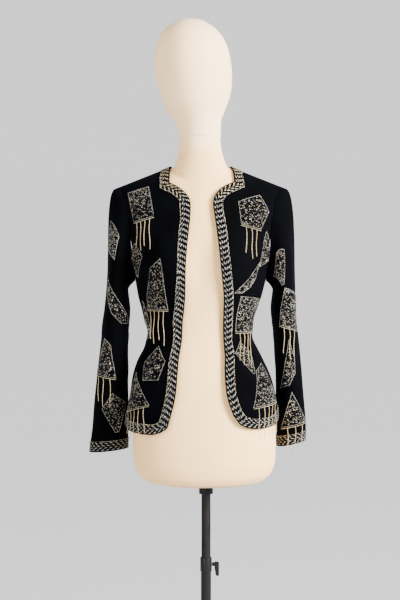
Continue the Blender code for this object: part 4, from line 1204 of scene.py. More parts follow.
class Nodes:
    """A material whose nodes are made one at a time."""

    def __init__(self, name: str) -> None:
        """Starts a material.

        Args:
            name: its name.
        """
        self.material = bpy.data.materials.new(name)
        self.material.use_nodes = True
        self.tree = self.material.node_tree
        self.shader = self.tree.nodes["Principled BSDF"]

    def make(self, kind: str, settings: dict, values: dict, output: object = 0) -> Sock:
        """Adds a node.

        Args:
            kind: the node's type.
            settings: its properties, with a ramp's stops as (position, colour) pairs.
            values: numbers or sockets for its inputs, by name or number.
            output: which of its outputs is returned.

        Returns:
            That output.
        """
        node = self.tree.nodes.new(kind)
        for name, value in settings.items():
            if name != "stops":
                setattr(node, name, value)
        if "stops" in settings:
            self._stops(node.color_ramp, settings["stops"])
        for key, value in values.items():
            self.feed(node.inputs[key], value)
        return Sock(self, node.outputs[output])

    @staticmethod
    def _stops(ramp: bpy.types.ColorRamp, stops: Sequence) -> None:
        """Sets a ramp's stops.

        Args:
            ramp: the ramp.
            stops: (position, colour) pairs in order.
        """
        while len(ramp.elements) < len(stops):
            ramp.elements.new(1.0)
        for element, (position, colour) in zip(ramp.elements, stops):
            element.position = position
            element.color = (*colour, 1.0)

    def feed(self, entry: bpy.types.NodeSocket, value: object) -> None:
        """Links or sets one input.

        Args:
            entry: the input.
            value: a socket, or a plain value.
        """
        if isinstance(value, Sock):
            self.tree.links.new(value.link, entry)
        else:
            entry.default_value = value

    def place(self) -> Sock:
        """Object coordinates."""
        return self.make("ShaderNodeTexCoord", {}, {}, "Object")

    def noise(self, scale: float, detail: float = 3.0, stretch: Triple = (1.0, 1.0, 1.0)) -> Sock:
        """Noise on object coordinates, stretched along the axes.

        Args:
            scale: how fine it is.
            detail: how many finer layers it has.
            stretch: a share for each axis, under 1 where the noise is drawn out.

        Returns:
            A number.
        """
        ends = {0: self.place(), 1: stretch}
        at = self.make("ShaderNodeVectorMath", {"operation": "MULTIPLY"}, ends)
        return self.make("ShaderNodeTexNoise", {}, {"Vector": at, "Scale": scale, "Detail": detail})

    def ramp(self, factor: Sock, stops: Sequence) -> Sock:
        """A colour for a number."""
        return self.make("ShaderNodeValToRGB", {"stops": stops}, {0: factor})

    def spread(self, factor: Sock, low: float, high: float) -> Sock:
        """A number between two values, from noise that lies mostly in its usual range."""
        values = {"Value": factor, 1: NOISE_RANGE[0], 2: NOISE_RANGE[1], 3: low, 4: high}
        return self.make("ShaderNodeMapRange", {"clamp": True}, values)

    def bump(self, height: Sock, strength: float, distance: float) -> None:
        """Relief from a height."""
        values = {"Strength": strength, "Distance": distance, "Height": height}
        self.feed(self.shader.inputs["Normal"], self.make("ShaderNodeBump", {}, values))

    def fix(self, **values: object) -> None:
        """Sets the shader's own sockets, named with _ for a space."""
        for name, value in values.items():
            self.shader.inputs[name.replace("_", " ")].default_value = value

    def colour(self, value: Sock) -> None:
        """Links the base colour."""
        self.feed(self.shader.inputs["Base Color"], value)

    def rough(self, value: Sock) -> None:
        """Links the roughness."""
        self.feed(self.shader.inputs["Roughness"], value)


@dataclass(frozen=True)
class Velvet:
    """Deep black pile that turns faintly navy where it leans to the light."""

    deep: Colour = (0.0003, 0.0003, 0.0004)
    # The light colour is the navy of the crushed streaks: painted sheen, besides the pile's own
    # crush.
    light: Colour = (0.0009, 0.0010, 0.0017)
    sheen: float = 0.009
    sheen_tint: Colour = (0.55, 0.62, 1.0)
    crush_scale: float = 24.0
    crush_stretch: Triple = (1.0, 1.0, 0.45)
    crush_stops: tuple[float, float] = (0.34, 0.70)
    crush_relief: float = 0.6
    roughness: tuple[float, float] = (0.86, 0.97)
    pile_scale: float = 2600.0
    pile_depth: float = 0.0004

    def material(self) -> bpy.types.Material:
        """Crushed patches from slow noise stretched upright, whose lighter navy colour is painted
        sheen as well as the pile's crush, and the pile from very fine noise.

        Returns:
            The finish.
        """
        nodes = Nodes("velvet")
        crush_and_sheen = nodes.noise(self.crush_scale, 4.0, self.crush_stretch)
        # The crush noise paints lighter navy streaks into the base colour: painted sheen, as well as
        # the pile's own crush.
        nodes.colour(nodes.ramp(crush_and_sheen, tuple(zip(self.crush_stops, (self.deep, self.light)))))
        nodes.rough(nodes.spread(crush_and_sheen, *self.roughness))
        pile = nodes.noise(self.pile_scale, 2.0)
        nodes.bump(pile + crush_and_sheen * self.crush_relief, 0.35, self.pile_depth)
        nodes.fix(Sheen_Weight=self.sheen, Sheen_Roughness=0.45, Specular_IOR_Level=0.02)
        nodes.fix(Sheen_Tint=(*self.sheen_tint, 1.0))
        return nodes.material


@dataclass(frozen=True)
class BeadGlass:
    """Beads from jet through gunmetal and silver to pale gold, by each bead's own tone."""

    name: str
    stops: tuple[tuple[float, Colour], ...] = (
        (0.00, (0.001, 0.001, 0.002)),
        (0.28, (0.014, 0.014, 0.016)),
        (0.52, (0.330, 0.318, 0.285)),
        (0.76, (0.450, 0.375, 0.240)),
        (1.00, (0.560, 0.410, 0.200)),
    )
    cloud_scale: float = 420.0
    cloud_share: float = 0.12
    roughness: tuple[float, float] = (0.16, 0.38)
    metal: float = 0.55

    def material(self) -> bpy.types.Material:
        """The tone gives the colour, and fine noise clouds the gloss.

        Returns:
            The finish.
        """
        nodes = Nodes(self.name)
        tone = nodes.make("ShaderNodeAttribute", {"attribute_name": "tone"}, {}, "Fac")
        cloud = nodes.noise(self.cloud_scale, 2.0)
        nodes.colour(nodes.ramp(tone + (cloud - 0.5) * self.cloud_share, self.stops))
        nodes.rough(nodes.spread(cloud, *self.roughness))
        nodes.fix(Metallic=self.metal, Specular_IOR_Level=0.12)
        return nodes.material


@dataclass(frozen=True)
class Jersey:
    """Cream knitted jersey pulled smooth over padding, yellower below the neck; the head's lighter
    colours are painted light for the brighter light on the head.
    """

    shade: Colour = (0.895, 0.545, 0.225)
    light: Colour = (0.945, 0.590, 0.255)
    # The head's stops are lighter than the body's: painted light for the brighter light on the head,
    # besides the head's paler tone.
    head_shade: Colour = (0.960, 0.660, 0.345)
    head_light: Colour = (0.990, 0.705, 0.385)
    stops: tuple[float, ...] = (0.15, 0.31, 0.65, 0.81)
    neck_z: float = 1.400
    neck_change: float = 12.0
    stain_scale: float = 7.0
    roughness: tuple[float, float] = (0.80, 0.92)
    wale_scale: float = 900.0
    wale_stretch: Triple = (1.0, 1.0, 0.35)
    wale_depth: float = 0.0005

    def material(self) -> bpy.types.Material:
        """Upright wales from stretched noise, with soft stains from slow noise.

        The lower half of the ramp is the body's and the upper half the head's, whose lighter stops
        are painted light on the head.

        Returns:
            The finish.
        """
        nodes = Nodes("jersey")
        stain = nodes.noise(self.stain_scale, 5.0)
        height = nodes.make("ShaderNodeSeparateXYZ", {}, {"Vector": nodes.place()}, "Z")
        # Above the neck the ramp turns to the head's stops, which are painted lighter for the light
        # on the head.
        upper = nodes.spread((height - self.neck_z) * self.neck_change, 0.0, 0.5)
        colours = (self.shade, self.light, self.head_shade, self.head_light)
        nodes.colour(nodes.ramp(stain * 0.5 + upper, tuple(zip(self.stops, colours))))
        nodes.rough(nodes.spread(stain, *self.roughness))
        nodes.bump(nodes.noise(self.wale_scale, 2.0, self.wale_stretch), 0.30, self.wale_depth)
        nodes.fix(Sheen_Weight=0.12, Sheen_Roughness=0.5, Specular_IOR_Level=0.2)
        return nodes.material


@dataclass(frozen=True)
class PaintedSteel:
    """Painted or bare metal with rubbed patches and fine scratches."""

    name: str
    paint: Colour
    rubbed: Colour
    start: float
    smooth: float
    dull: float
    metal: float
    blend: float = 0.14
    wear_scale: float = 46.0
    wear_stretch: Triple = (1.0, 1.0, 0.35)
    scratch_scale: float = 500.0
    scratch_stretch: Triple = (1.0, 1.0, 0.2)
    scratch_depth: float = 0.0004

    def material(self) -> bpy.types.Material:
        """Noise that is stretched up the pole parts the paint from the rubbed patches.

        Returns:
            The finish.
        """
        nodes = Nodes(self.name)
        wear = nodes.noise(self.wear_scale, 6.0, self.wear_stretch)
        stops = ((self.start, self.paint), (self.start + self.blend, self.rubbed))
        nodes.colour(nodes.ramp(wear, stops))
        nodes.rough(nodes.spread(wear, self.smooth, self.dull))
        scratches = nodes.noise(self.scratch_scale, 3.0, self.scratch_stretch)
        nodes.bump(scratches, 0.12, self.scratch_depth)
        nodes.fix(Metallic=self.metal, Specular_IOR_Level=0.10)
        return nodes.material


BLACK_STEEL = PaintedSteel(
    name="black_steel",
    paint=(0.010, 0.010, 0.011),
    rubbed=(0.05, 0.048, 0.045),
    start=0.66,
    smooth=0.28,
    dull=0.44,
    metal=0.2,
)
BLACK_IRON = PaintedSteel(
    name="black_iron",
    paint=(0.012, 0.012, 0.013),
    rubbed=(0.04, 0.038, 0.036),
    start=0.64,
    smooth=0.40,
    dull=0.58,
    metal=0.2,
)
WORN_STEEL = PaintedSteel(
    name="worn_steel",
    paint=(0.008, 0.007, 0.006),
    rubbed=(0.003, 0.003, 0.003),
    start=0.50,
    smooth=0.46,
    dull=0.66,
    metal=0.0,
)


# Beads


BARREL = ((-1.0, 0.72), (0.0, 1.0), (1.0, 0.72))
TUBE = ((-1.0, 1.0), (1.0, 1.0))


@dataclass(frozen=True)
class Bead:
    """A kind of bead, by half its length, half its thickness and its rings.

    A ring is given by its place from -1 to 1 along the hole and its share of the thickness.
    """

    half: float
    thick: float
    rings: tuple[tuple[float, float], ...] = BARREL


BAND_BUGLE = Bead(0.0031, 0.00060, TUBE)
PATCH_BUGLE = Bead(0.0014, 0.00056, TUBE)
SEQUIN = Bead(0.0003, 0.0013, TUBE)
EDGE_BEAD = Bead(0.0008, 0.0008)
OUTLINE_BEAD = Bead(0.00070, 0.00066)
STRAND_BEAD = Bead(0.00086, 0.00074)


@dataclass
class Beads:
    """Beads that are gathered for one piece and made as one mesh.

    A bead's tone runs from 0 for jet to 1 for gold.
    """

    sides: int = 6
    parts: list[tuple[Bead, tuple[Array, ...]]] = field(default_factory=list)

    def add(self, bead: Bead, at: Array, along: Array, out: Array, tone: object) -> None:
        """Adds beads of one kind.

        Args:
            bead: their kind.
            at: (count, 3) middles.
            along: the way each bead's hole runs.
            out: the way out of the cloth.
            tone: one tone, or one for each.
        """
        count = len(at)
        values = (np.asarray(value, float) for value in (bead.half, bead.thick, tone))
        each = [np.broadcast_to(value, (count,)) for value in values]
        self.parts.append((bead, (at, unit(along), unit(out), *each)))

    def template(self, rings: Sequence[tuple[float, float]]) -> tuple[Array, Array]:
        """One bead around its rings, with ends of two quads.

        Args:
            rings: the bead's form.

        Returns:
            Its corners, as shares of its sizes, and its faces.
        """
        turns = np.linspace(0, 2 * np.pi, self.sides, endpoint=False)
        corners = [
            np.stack([np.full_like(turns, x), r * np.cos(turns), r * np.sin(turns)], axis=-1)
            for x, r in rings
        ]
        sides = grid_faces(len(rings), self.sides, wrap=True)
        ends = np.array([[0, 1, 2, 3], [0, 3, 4, 5]])
        far = ends + (len(rings) - 1) * self.sides
        return np.concatenate(corners), np.concatenate([sides, ends[:, ::-1], far])

    def build(self, name: str, finish: bpy.types.Material) -> bpy.types.Object:
        """One mesh: middle + along x half + side x thick + out x thick for each corner.

        Args:
            name: the piece's name.
            finish: its material.

        Returns:
            The piece, with the beads' tones as an attribute of its points.
        """
        points, faces, tones, start = [], [], [], 0
        for rings in (BARREL, TUBE):
            chosen = [part for bead, part in self.parts if bead.rings is rings]
            if not chosen:
                continue
            at, along, out, half, thick, tone = (np.concatenate(c) for c in zip(*chosen))
            side = unit(np.cross(out, along))
            out = np.cross(along, side)
            shape, cells = self.template(rings)
            corners = (
                at[:, None]
                + along[:, None] * (shape[None, :, :1] * half[:, None, None])
                + side[:, None] * (shape[None, :, 1:2] * thick[:, None, None])
                + out[:, None] * (shape[None, :, 2:] * thick[:, None, None])
            )
            first = start + np.arange(len(at)) * len(shape)
            points.append(corners.reshape(-1, 3))
            faces.append((cells[None] + first[:, None, None]).reshape(-1, 4))
            tones.append(np.repeat(tone, len(shape)))
            start += len(points[-1])
        made = add_mesh(name, np.concatenate(points), np.concatenate(faces), finish)
        layer = made.data.attributes.new("tone", "FLOAT", "POINT")
        layer.data.foreach_set("value", np.concatenate(tones).astype(np.float32))
        return made


class Lay(Enum):
    """How the bugles of a band lie: each column's slant in degrees from straight across."""

    HERRINGBONE = (60.0, 58.0, -60.0, -58.0)
    DASHES = (58.0, 50.0, 58.0, 50.0)
    ROPE = (62.0, 62.0, -62.0, -62.0)


@dataclass
class Band:
    """A beaded band beside a line on the cloth, with columns of slanted bugles."""

    surface: Surface
    path: Array
    hand: float
    width: float
    lay: Lay
    seed: int
    gold_above: float = 10.0
    gold_blend: float = 0.05
    gold_tones: tuple[float, float] = (0.66, 0.86)
    pitch: float = 0.0021
    margin: float = 0.0019
    lift: float = 0.0004
    slant_spread: float = 4.0
    tone_turn: tuple[float, ...] = (0.57, 0.42, 0.02, 0.00, 0.00, 0.02)
    tone_spread: float = 0.04
    light_bugles: int = 2
    edge_away: float = 0.0009
    edge_pitch: float = 0.0019
    edge_lift: float = 0.0011
    jet_tones: tuple[float, ...] = (0.04, 0.10, 0.04)
    inner_tones: tuple[float, ...] = (0.78, 0.48, 0.12)
    near_share: float = 0.97
    near_slack: float = 0.0002

    def offset(self, away: float, spacing: float) -> tuple[Array, Array, Array]:
        """Points beside the path at even steps, with their directions along and out.

        What falls nearer to the path than it should, inside a corner, is dropped. Outside a
        corner the line runs on to its mitre and back.

        Args:
            away: how far from the path.
            spacing: the step from point to point.

        Returns:
            Points, the way along and the way out.
        """
        edge = self.surface.points(self.path)
        moved = step_aside(self.surface, self.path, np.full(len(edge), self.hand * away))
        points = self.surface.points(moved)
        gaps = np.linalg.norm(points[:, None] - edge[None], axis=-1).min(axis=1)
        kept = moved[gaps > away * self.near_share - self.near_slack]
        frames = frames_on(self.surface, evenly(self.surface, kept, spacing))
        return frames.point, unit(np.gradient(frames.point, axis=0)), frames.out

    def tones(self, at: Array, number: int, rng: np.random.Generator) -> Array:
        """Light bugles and jet ones in turn, the light ones gold towards the neck.

        Args:
            at: the bugles' middles.
            number: which column of the band they are in.
            rng: the band's random draws.

        Returns:
            Their tones.
        """
        turn = len(self.tone_turn)
        order = (np.arange(len(at)) + turn // 2 * (number % 2)) % turn
        tone = np.array(self.tone_turn)[order] + rng.normal(0, self.tone_spread, len(at))
        share = np.clip((at[:, 2] - self.gold_above) / self.gold_blend + 0.5, 0, 1)
        golden = (rng.random(len(at)) < share) & (order < self.light_bugles)
        low, high = self.gold_tones
        return np.where(golden, low + (high - low) * rng.random(len(at)), tone)

    def build(self, name: str, finish: bpy.types.Material) -> bpy.types.Object:
        """Columns of bugles between a jet row on the edge and a mixed row inside.

        Args:
            name: the piece's name.
            finish: its material.

        Returns:
            The band.
        """
        rng = np.random.default_rng(self.seed)
        beads = Beads()
        slants = self.lay.value
        cell = (self.width - 2 * self.margin) / len(slants)
        for number, slant in enumerate(slants):
            at, run, out = self.offset(self.margin + cell * (number + 0.5), self.pitch)
            side = np.cross(out, run)
            turn = np.radians(slant + rng.normal(0, self.slant_spread, len(at)))[:, None]
            along = side * np.cos(turn) + run * np.sin(turn)
            raised = at + out * (self.lift + BAND_BUGLE.thick)
            beads.add(BAND_BUGLE, raised, along, out, self.tones(at, number, rng))
        rows = ((self.edge_away, self.jet_tones), (self.width - self.edge_away, self.inner_tones))
        for away, choice in rows:
            at, run, out = self.offset(away, self.edge_pitch)
            beads.add(EDGE_BEAD, at + out * self.edge_lift, run, out, rng.choice(choice, len(at)))
        return beads.build(name, finish)


@dataclass
class BeadedPatch:
    """A patch of loose bugles inside a row of round beads."""

    patch: Patch
    surface: Surface
    number: int
    gap: float = 0.0025
    shake: float = 0.42
    border: float = 0.0026
    lift: float = 0.0010
    lift_spread: float = 0.0005
    tones: tuple[float, ...] = (0.04, 0.26, 0.50, 0.60, 0.85)
    tone_shares: tuple[float, ...] = (0.63, 0.15, 0.13, 0.05, 0.04)
    sequins: int = 12
    sequin_lift: float = 0.0007
    sequin_tone: float = 0.58
    row_pitch: float = 0.0018
    row_inset: float = 0.0010
    row_lift: float = 0.0012
    row_tone: float = 0.50
    row_tone_spread: float = 0.09

    def middle(self) -> Array:
        """The place of its middle, past 180 degrees on the right half of the back.

        Returns:
            The place.
        """
        angle = math.radians(self.patch.angle)
        if self.patch.host == "back" and angle < 0:
            angle += 2 * math.pi
        return np.array([angle, self.patch.z])

    def places(self, local: Array) -> Array:
        """Places for points in metres across and up the patch, which is turned by its angle.

        Args:
            local: (count, 2) points from the patch's middle.

        Returns:
            (count, 2) places on the surface.
        """
        turn = math.radians(self.patch.turn)
        turned = local @ np.array(
            [[math.cos(turn), math.sin(turn)], [-math.sin(turn), math.cos(turn)]]
        )
        middle, moves = self.middle(), np.diag([0.05, 0.01])
        start = self.surface.points(middle)
        reach = np.linalg.norm(self.surface.points(middle + moves) - start, axis=-1)
        return middle + turned * (np.diag(moves) / reach)

    def outline(self) -> Array:
        """The corners, in metres from the middle."""
        return np.array(SHAPES[self.patch.shape]) * [self.patch.width, self.patch.height]

    @staticmethod
    def inset(corners: Array, points: Array) -> Array:
        """How far inside the outline each point lies, from its nearest edge.

        Args:
            corners: the outline's corners, turning left.
            points: (count, 2) points.

        Returns:
            A length for each point, below 0 outside.
        """
        ends = np.roll(corners, -1, axis=0)
        run = unit(ends - corners)
        away = points[:, None] - corners[None]
        return (run[None, :, 0] * away[..., 1] - run[None, :, 1] * away[..., 0]).min(axis=1)

    def loose(self, beads: Beads, rng: np.random.Generator) -> None:
        """Adds bugles at random turns on a shaken grid, and a few sequins among them.

        Args:
            beads: what they are added to.
            rng: the patch's random draws.
        """
        corners = self.outline()
        x, y = np.meshgrid(*(np.arange(-h, h, self.gap) for h in np.abs(corners).max(axis=0)))
        local = np.stack([x.ravel(), y.ravel()], axis=-1)
        local = local + rng.uniform(-self.shake, self.shake, local.shape) * self.gap
        local = local[self.inset(corners, local) > self.border]
        count = len(local)
        frames = frames_on(self.surface, self.places(local))
        turn = rng.uniform(0, np.pi, count)[:, None]
        along = frames.across * np.cos(turn) + frames.up * np.sin(turn)
        tone = rng.choice(self.tones, count, p=self.tone_shares)
        raised = (self.lift + self.lift_spread * rng.random(count))[:, None]
        at = frames.point + frames.out * raised
        beads.add(PATCH_BUGLE, at, along, frames.out, tone)
        bright = rng.choice(count, self.sequins, replace=False)
        out = frames.out[bright]
        beads.add(SEQUIN, at[bright] + out * self.sequin_lift, out, along[bright], self.sequin_tone)

    def row(self, beads: Beads, rng: np.random.Generator) -> None:
        """Adds the row of beads round the outline.

        Args:
            beads: what they are added to.
            rng: the patch's random draws.
        """
        corners = self.outline()
        ends = np.roll(corners, -1, axis=0)
        counts = [max(2, int(s / self.row_pitch)) for s in np.linalg.norm(ends - corners, axis=1)]
        shares = [np.linspace(0, 1, count, endpoint=False)[:, None] for count in counts]
        local = np.concatenate([a + (b - a) * t for a, b, t in zip(corners, ends, shares)])
        local = local * (1 - self.row_inset / np.abs(corners).max(axis=0))
        rim = frames_on(self.surface, self.places(local))
        tone = self.row_tone + rng.normal(0, self.row_tone_spread, len(local))
        beads.add(OUTLINE_BEAD, rim.point + rim.out * self.row_lift, rim.across, rim.out, tone)

    def build(self, name: str, finish: bpy.types.Material) -> bpy.types.Object:
        """The loose bugles and sequins, and the row round them.

        Args:
            name: the piece's name.
            finish: its material.

        Returns:
            The patch.
        """
        beads, rng = Beads(), np.random.default_rng(100 + self.number)
        self.loose(beads, rng)
        self.row(beads, rng)
        return beads.build(name, finish)


@dataclass
class Fringe:
    """Strands of small beads that hang from the lower edge of a patch."""

    beaded: BeadedPatch
    head_pitch: float = 0.0021
    head_ends: tuple[float, float] = (0.02, 0.98)
    head_drop: float = 0.0026
    head_tone: float = 0.76
    root_drop: float = 0.0045
    pitch: float = 0.0018
    tones: tuple[float, float] = (0.80, 0.94)
    sway: float = 0.0011
    sway_turn: float = 80.0
    sway_start: float = 0.01
    drift: float = 0.022
    drift_turn: float = 2.3
    end_gap: float = 0.0005
    lift_on_sleeve: float = 0.0022
    lift_on_body: float = 0.0016

    @property
    def lift(self) -> float:
        """How far it stands off the cloth."""
        on_sleeve = self.beaded.patch.host.startswith("sleeve")
        return self.lift_on_sleeve if on_sleeve else self.lift_on_body

    def drop(self, strand: int) -> float:
        """A strand's length, which is uneven from strand to strand."""
        return self.beaded.patch.hang * (1 - STRAND_UNEVEN * (((2 * strand + 1) * 5) % 7) / 6)

    def line(self, root: Frames, strand: int) -> Array:
        """A strand's beads: down, with a slight sway, and clear of the cloth that stands out.

        Args:
            root: where it hangs from.
            strand: its number.

        Returns:
            The beads' middles.
        """
        start = (root.point + root.out * self.lift)[0]
        forward = bool(root.out[0, 1] < 0)
        z = start[2] - np.arange(0, self.drop(strand) - self.end_gap, self.pitch)
        limit = self.beaded.surface.outer_y(np.full_like(z, start[0]), z, forward)
        limit = limit + (-STRAND_CLEAR if forward else STRAND_CLEAR)
        limit[0] = start[1]
        reach = np.minimum.accumulate if forward else np.maximum.accumulate
        fall = start[2] - z
        swing = np.minimum(1, fall / self.sway_start)
        sway = self.sway * np.sin(fall * self.sway_turn + strand) * swing
        drift = self.drift * fall * math.sin(self.drift_turn * strand + self.beaded.number)
        return np.stack([start[0] + (sway + drift), reach(limit), z], axis=-1)

    def build(self, name: str, finish: bpy.types.Material) -> bpy.types.Object:
        """A row of beads across the head, and the strands below it.

        Args:
            name: the piece's name.
            finish: its material.

        Returns:
            The fringe.
        """
        beaded = self.beaded
        rng = np.random.default_rng(300 + beaded.number)
        beads, corners = Beads(), beaded.outline()
        edge = corners[1] - corners[0]
        size, strands = float(np.linalg.norm(edge)), beaded.patch.strands
        head = np.linspace(*self.head_ends, int(size / self.head_pitch))[:, None]
        places = beaded.places(corners[0] + edge * head) - [0.0, self.head_drop]
        rim = frames_on(beaded.surface, places)
        beads.add(EDGE_BEAD, rim.point + rim.out * self.lift, rim.across, rim.out, self.head_tone)
        cell = (size - 2 * STRAND * strands) / (strands + 1)
        low, high = self.tones
        for strand in range(strands):
            share = (cell * (strand + 1) + 2 * STRAND * strand + STRAND) / size
            place = beaded.places(corners[:1] + edge * share) - [0.0, self.root_drop]
            at = self.line(frames_on(beaded.surface, place), strand)
            down, out = (np.tile(way, (len(at), 1)) for way in ([0.0, 0.0, -1.0], [0.0, -1.0, 0.0]))
            beads.add(STRAND_BEAD, at, down, out, low + (high - low) * rng.random(len(at)))
        return beads.build(name, finish)


# Sub-assemblies


def dress(piece: bpy.types.Object, body: str, slot: str, *nodes: str) -> bpy.types.Object:
    """Puts a piece on its body and in place of its CAD nodes.

    Args:
        piece: the finished piece.
        body: the body that it moves with.
        slot: not used.
        nodes: the CAD nodes that it stands for.

    Returns:
        The piece.
    """
    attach(piece, body)
    if nodes:
        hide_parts(*nodes)
    LOG.info("%s: %d faces", piece.name, len(piece.data.polygons))
    return piece


@dataclass
class Jacket:
    """The velvet pieces, their beaded bands, patches and fringes.

    A piece's share is how much of its flat size the cut cloth fills.
    """

    cut: Cut
    velvet: bpy.types.Material
    silver: bpy.types.Material
    gold: bpy.types.Material
    front_flat: tuple[float, float] = (0.27, 0.66)
    front_share: float = 0.56
    back_flat: tuple[float, float] = (0.50, 0.66)
    back_share: float = 0.76
    sleeve_flat: tuple[float, float] = (0.36, 0.66)
    sleeve_share: float = 0.62
    fold_angle: float = 50.0
    gold_above: float = 1.318
    cuff_lift: float = 0.0004
    cuff_points: int = 160
    hem_points: int = 120
    neck_points: int = 40
    surfaces: dict[str, Surface] = field(default_factory=dict)

    def shell(self, name: str, grid: Array, out: Array, wrap: bool) -> bpy.types.Object:
        """Two layers a wall's thickness apart, joined along the open edges.

        Args:
            name: the piece's name.
            grid: (rows, columns, 3) points of the outer layer.
            out: the way out at each point.
            wrap: whether the last column joins the first.

        Returns:
            The shell, with its faces out.
        """
        rows, columns = grid.shape[:2]
        count = rows * columns
        points = np.concatenate([grid.reshape(-1, 3), (grid - out * WALL).reshape(-1, 3)])
        outer = grid_faces(rows, columns, wrap)
        ring = np.arange(columns + 1) % columns if wrap else np.arange(columns)
        rims = [ring, ring + (rows - 1) * columns]
        if not wrap:
            rims += [np.arange(rows) * columns, np.arange(rows) * columns + columns - 1]
        strips = [np.stack([r[:-1], r[1:], r[1:] + count, r[:-1] + count], -1) for r in rims]
        faces = np.concatenate([outer, outer[:, ::-1] + count, *strips])
        made = add_mesh(name, points, faces, self.velvet)
        close_mesh(made, sharp=self.fold_angle)
        return made

    def panel(self, name: str, places: Array, breaks: Sequence[int], hand: float,
              flat: tuple[float, float], share: float) -> None:
        """One cut piece of the body, stretched over the form.

        Args:
            name: the CAD node's name.
            places: (rows, columns, 2) places on the body.
            breaks: rows at which an edge turns sharply.
            hand: 1 where rows and columns turn outwards, -1 where they turn inwards.
            flat: the width and length of the cut cloth.
            share: how much of them it fills.
        """
        fine = refine(places, self.cut.cells, breaks)
        grid = self.cut.body.points(fine)
        made = self.shell("cloth_" + name, grid, grid_normals(grid) * hand, wrap=False)
        dress(made, "form", "velvet", name)
        area = flat[0] * flat[1] * share
        self.surfaces[name] = self.cut.body

    def sleeve(self, side: Side) -> SleeveSurface:
        """One sleeve, whose cap starts at the armhole of the front and back.

        Args:
            side: the side of the jacket.

        Returns:
            The surface on which its beads lie.
        """
        surface = self.cut.sleeve(side)
        out = grid_normals(surface.grid, wrap=True) * -side.sign
        made = self.shell("cloth_sleeve_" + side.name, surface.grid, out, wrap=True)
        dress(made, "form", "velvet", "sleeve_" + side.name)
        flat, host = self.sleeve_flat, "cloth_front_" + side.name
        area = flat[0] * flat[1] * self.sleeve_share
        self.surfaces["sleeve_" + side.name] = surface
        return surface

    def build(self) -> None:
        """All the pieces, the cloth first."""
        cut = self.cut
        corner = 1 + cut.side_rows + cut.chest_rows + cut.round_rows
        for side in (RIGHT, LEFT):
            name, places = "front_" + side.name, cut.front_places(side)
            self.panel(name, places, (1, corner), side.sign, self.front_flat, self.front_share)
            surface = self.sleeve(side)
            self.front_beads(side)
            self.cuff_beads(side, surface)
        self.panel("back", cut.back_places(), (1,), 1.0, self.back_flat, self.back_share)
        self.back_beads()
        self.patches()

    def lay(self, band: Band, piece: str, node: str) -> None:
        """Makes a band in silver beads in place of its CAD node."""
        dress(band.build("beads_" + piece, self.silver), "form", "silver_beads", node)

    def front_beads(self, side: Side) -> None:
        """The band along a front's hem, edge and neck.

        Args:
            side: the side of the jacket.
        """
        path, name = self.cut.front_band(side), "front_" + side.name
        band = Band(self.cut.body, path, -side.sign, BAND, Lay.HERRINGBONE, 11, self.gold_above)
        self.lay(band, name, "trim_" + name)

    def cuff_beads(self, side: Side, sleeve: SleeveSurface) -> None:
        """The band round a cuff, between the sleeve's two lowest ovals.

        Args:
            side: the side of the jacket.
            sleeve: the surface on which it lies.
        """
        low, high = side.rings[0].z, side.rings[1].z
        turns = np.linspace(0, 2 * np.pi, self.cuff_points)
        ring = np.stack([turns, np.full_like(turns, low + self.cuff_lift)], axis=-1)
        band = Band(sleeve, ring, 1.0, high - low, Lay.ROPE, 21)
        self.lay(band, "cuff_" + side.name, "cuff_" + side.name)

    def back_beads(self) -> None:
        """The bands along the back's hem and neck, whose lines step over the middle."""
        angles = np.linspace(np.pi / 2, np.pi, self.hem_points)
        left, right = (self.cut.hem_line(side, angles) for side in (LEFT, RIGHT))
        right[:, 0] += 2 * np.pi
        hem = np.concatenate([left[:-1], right[-2::-1]])
        self.lay(Band(self.cut.body, hem, 1.0, BAND, Lay.DASHES, 31), "hem_back", "trim_hem_back")
        left = self.cut.neck_line(self.neck_points)
        right = left * [-1.0, 1.0] + [2 * np.pi, 0.0]
        neck = np.concatenate([left[:0:-1], right[1:]])
        band = Band(self.cut.body, neck, -1.0, NECK_BAND, Lay.HERRINGBONE, 41, gold_above=1.0)
        self.lay(band, "neck_back", "trim_neck_back")

    def patches(self) -> None:
        """The patches, numbered on each host, and the fringes under some."""
        counts: dict[str, int] = {}
        for number, patch in enumerate(PATCHES):
            counts[patch.host] = counts.get(patch.host, 0) + 1
            label = f"{patch.host}_{counts[patch.host]}"
            beaded = BeadedPatch(patch, self.surfaces[patch.host], number)
            made = beaded.build("beads_patch_" + label, self.silver)
            dress(made, "form", "silver_beads", "patch_" + label)
            if patch.strands:
                made = Fringe(beaded).build("strands_" + label, self.gold)
                dress(made, "form", "gold_beads", "fringe_" + label)


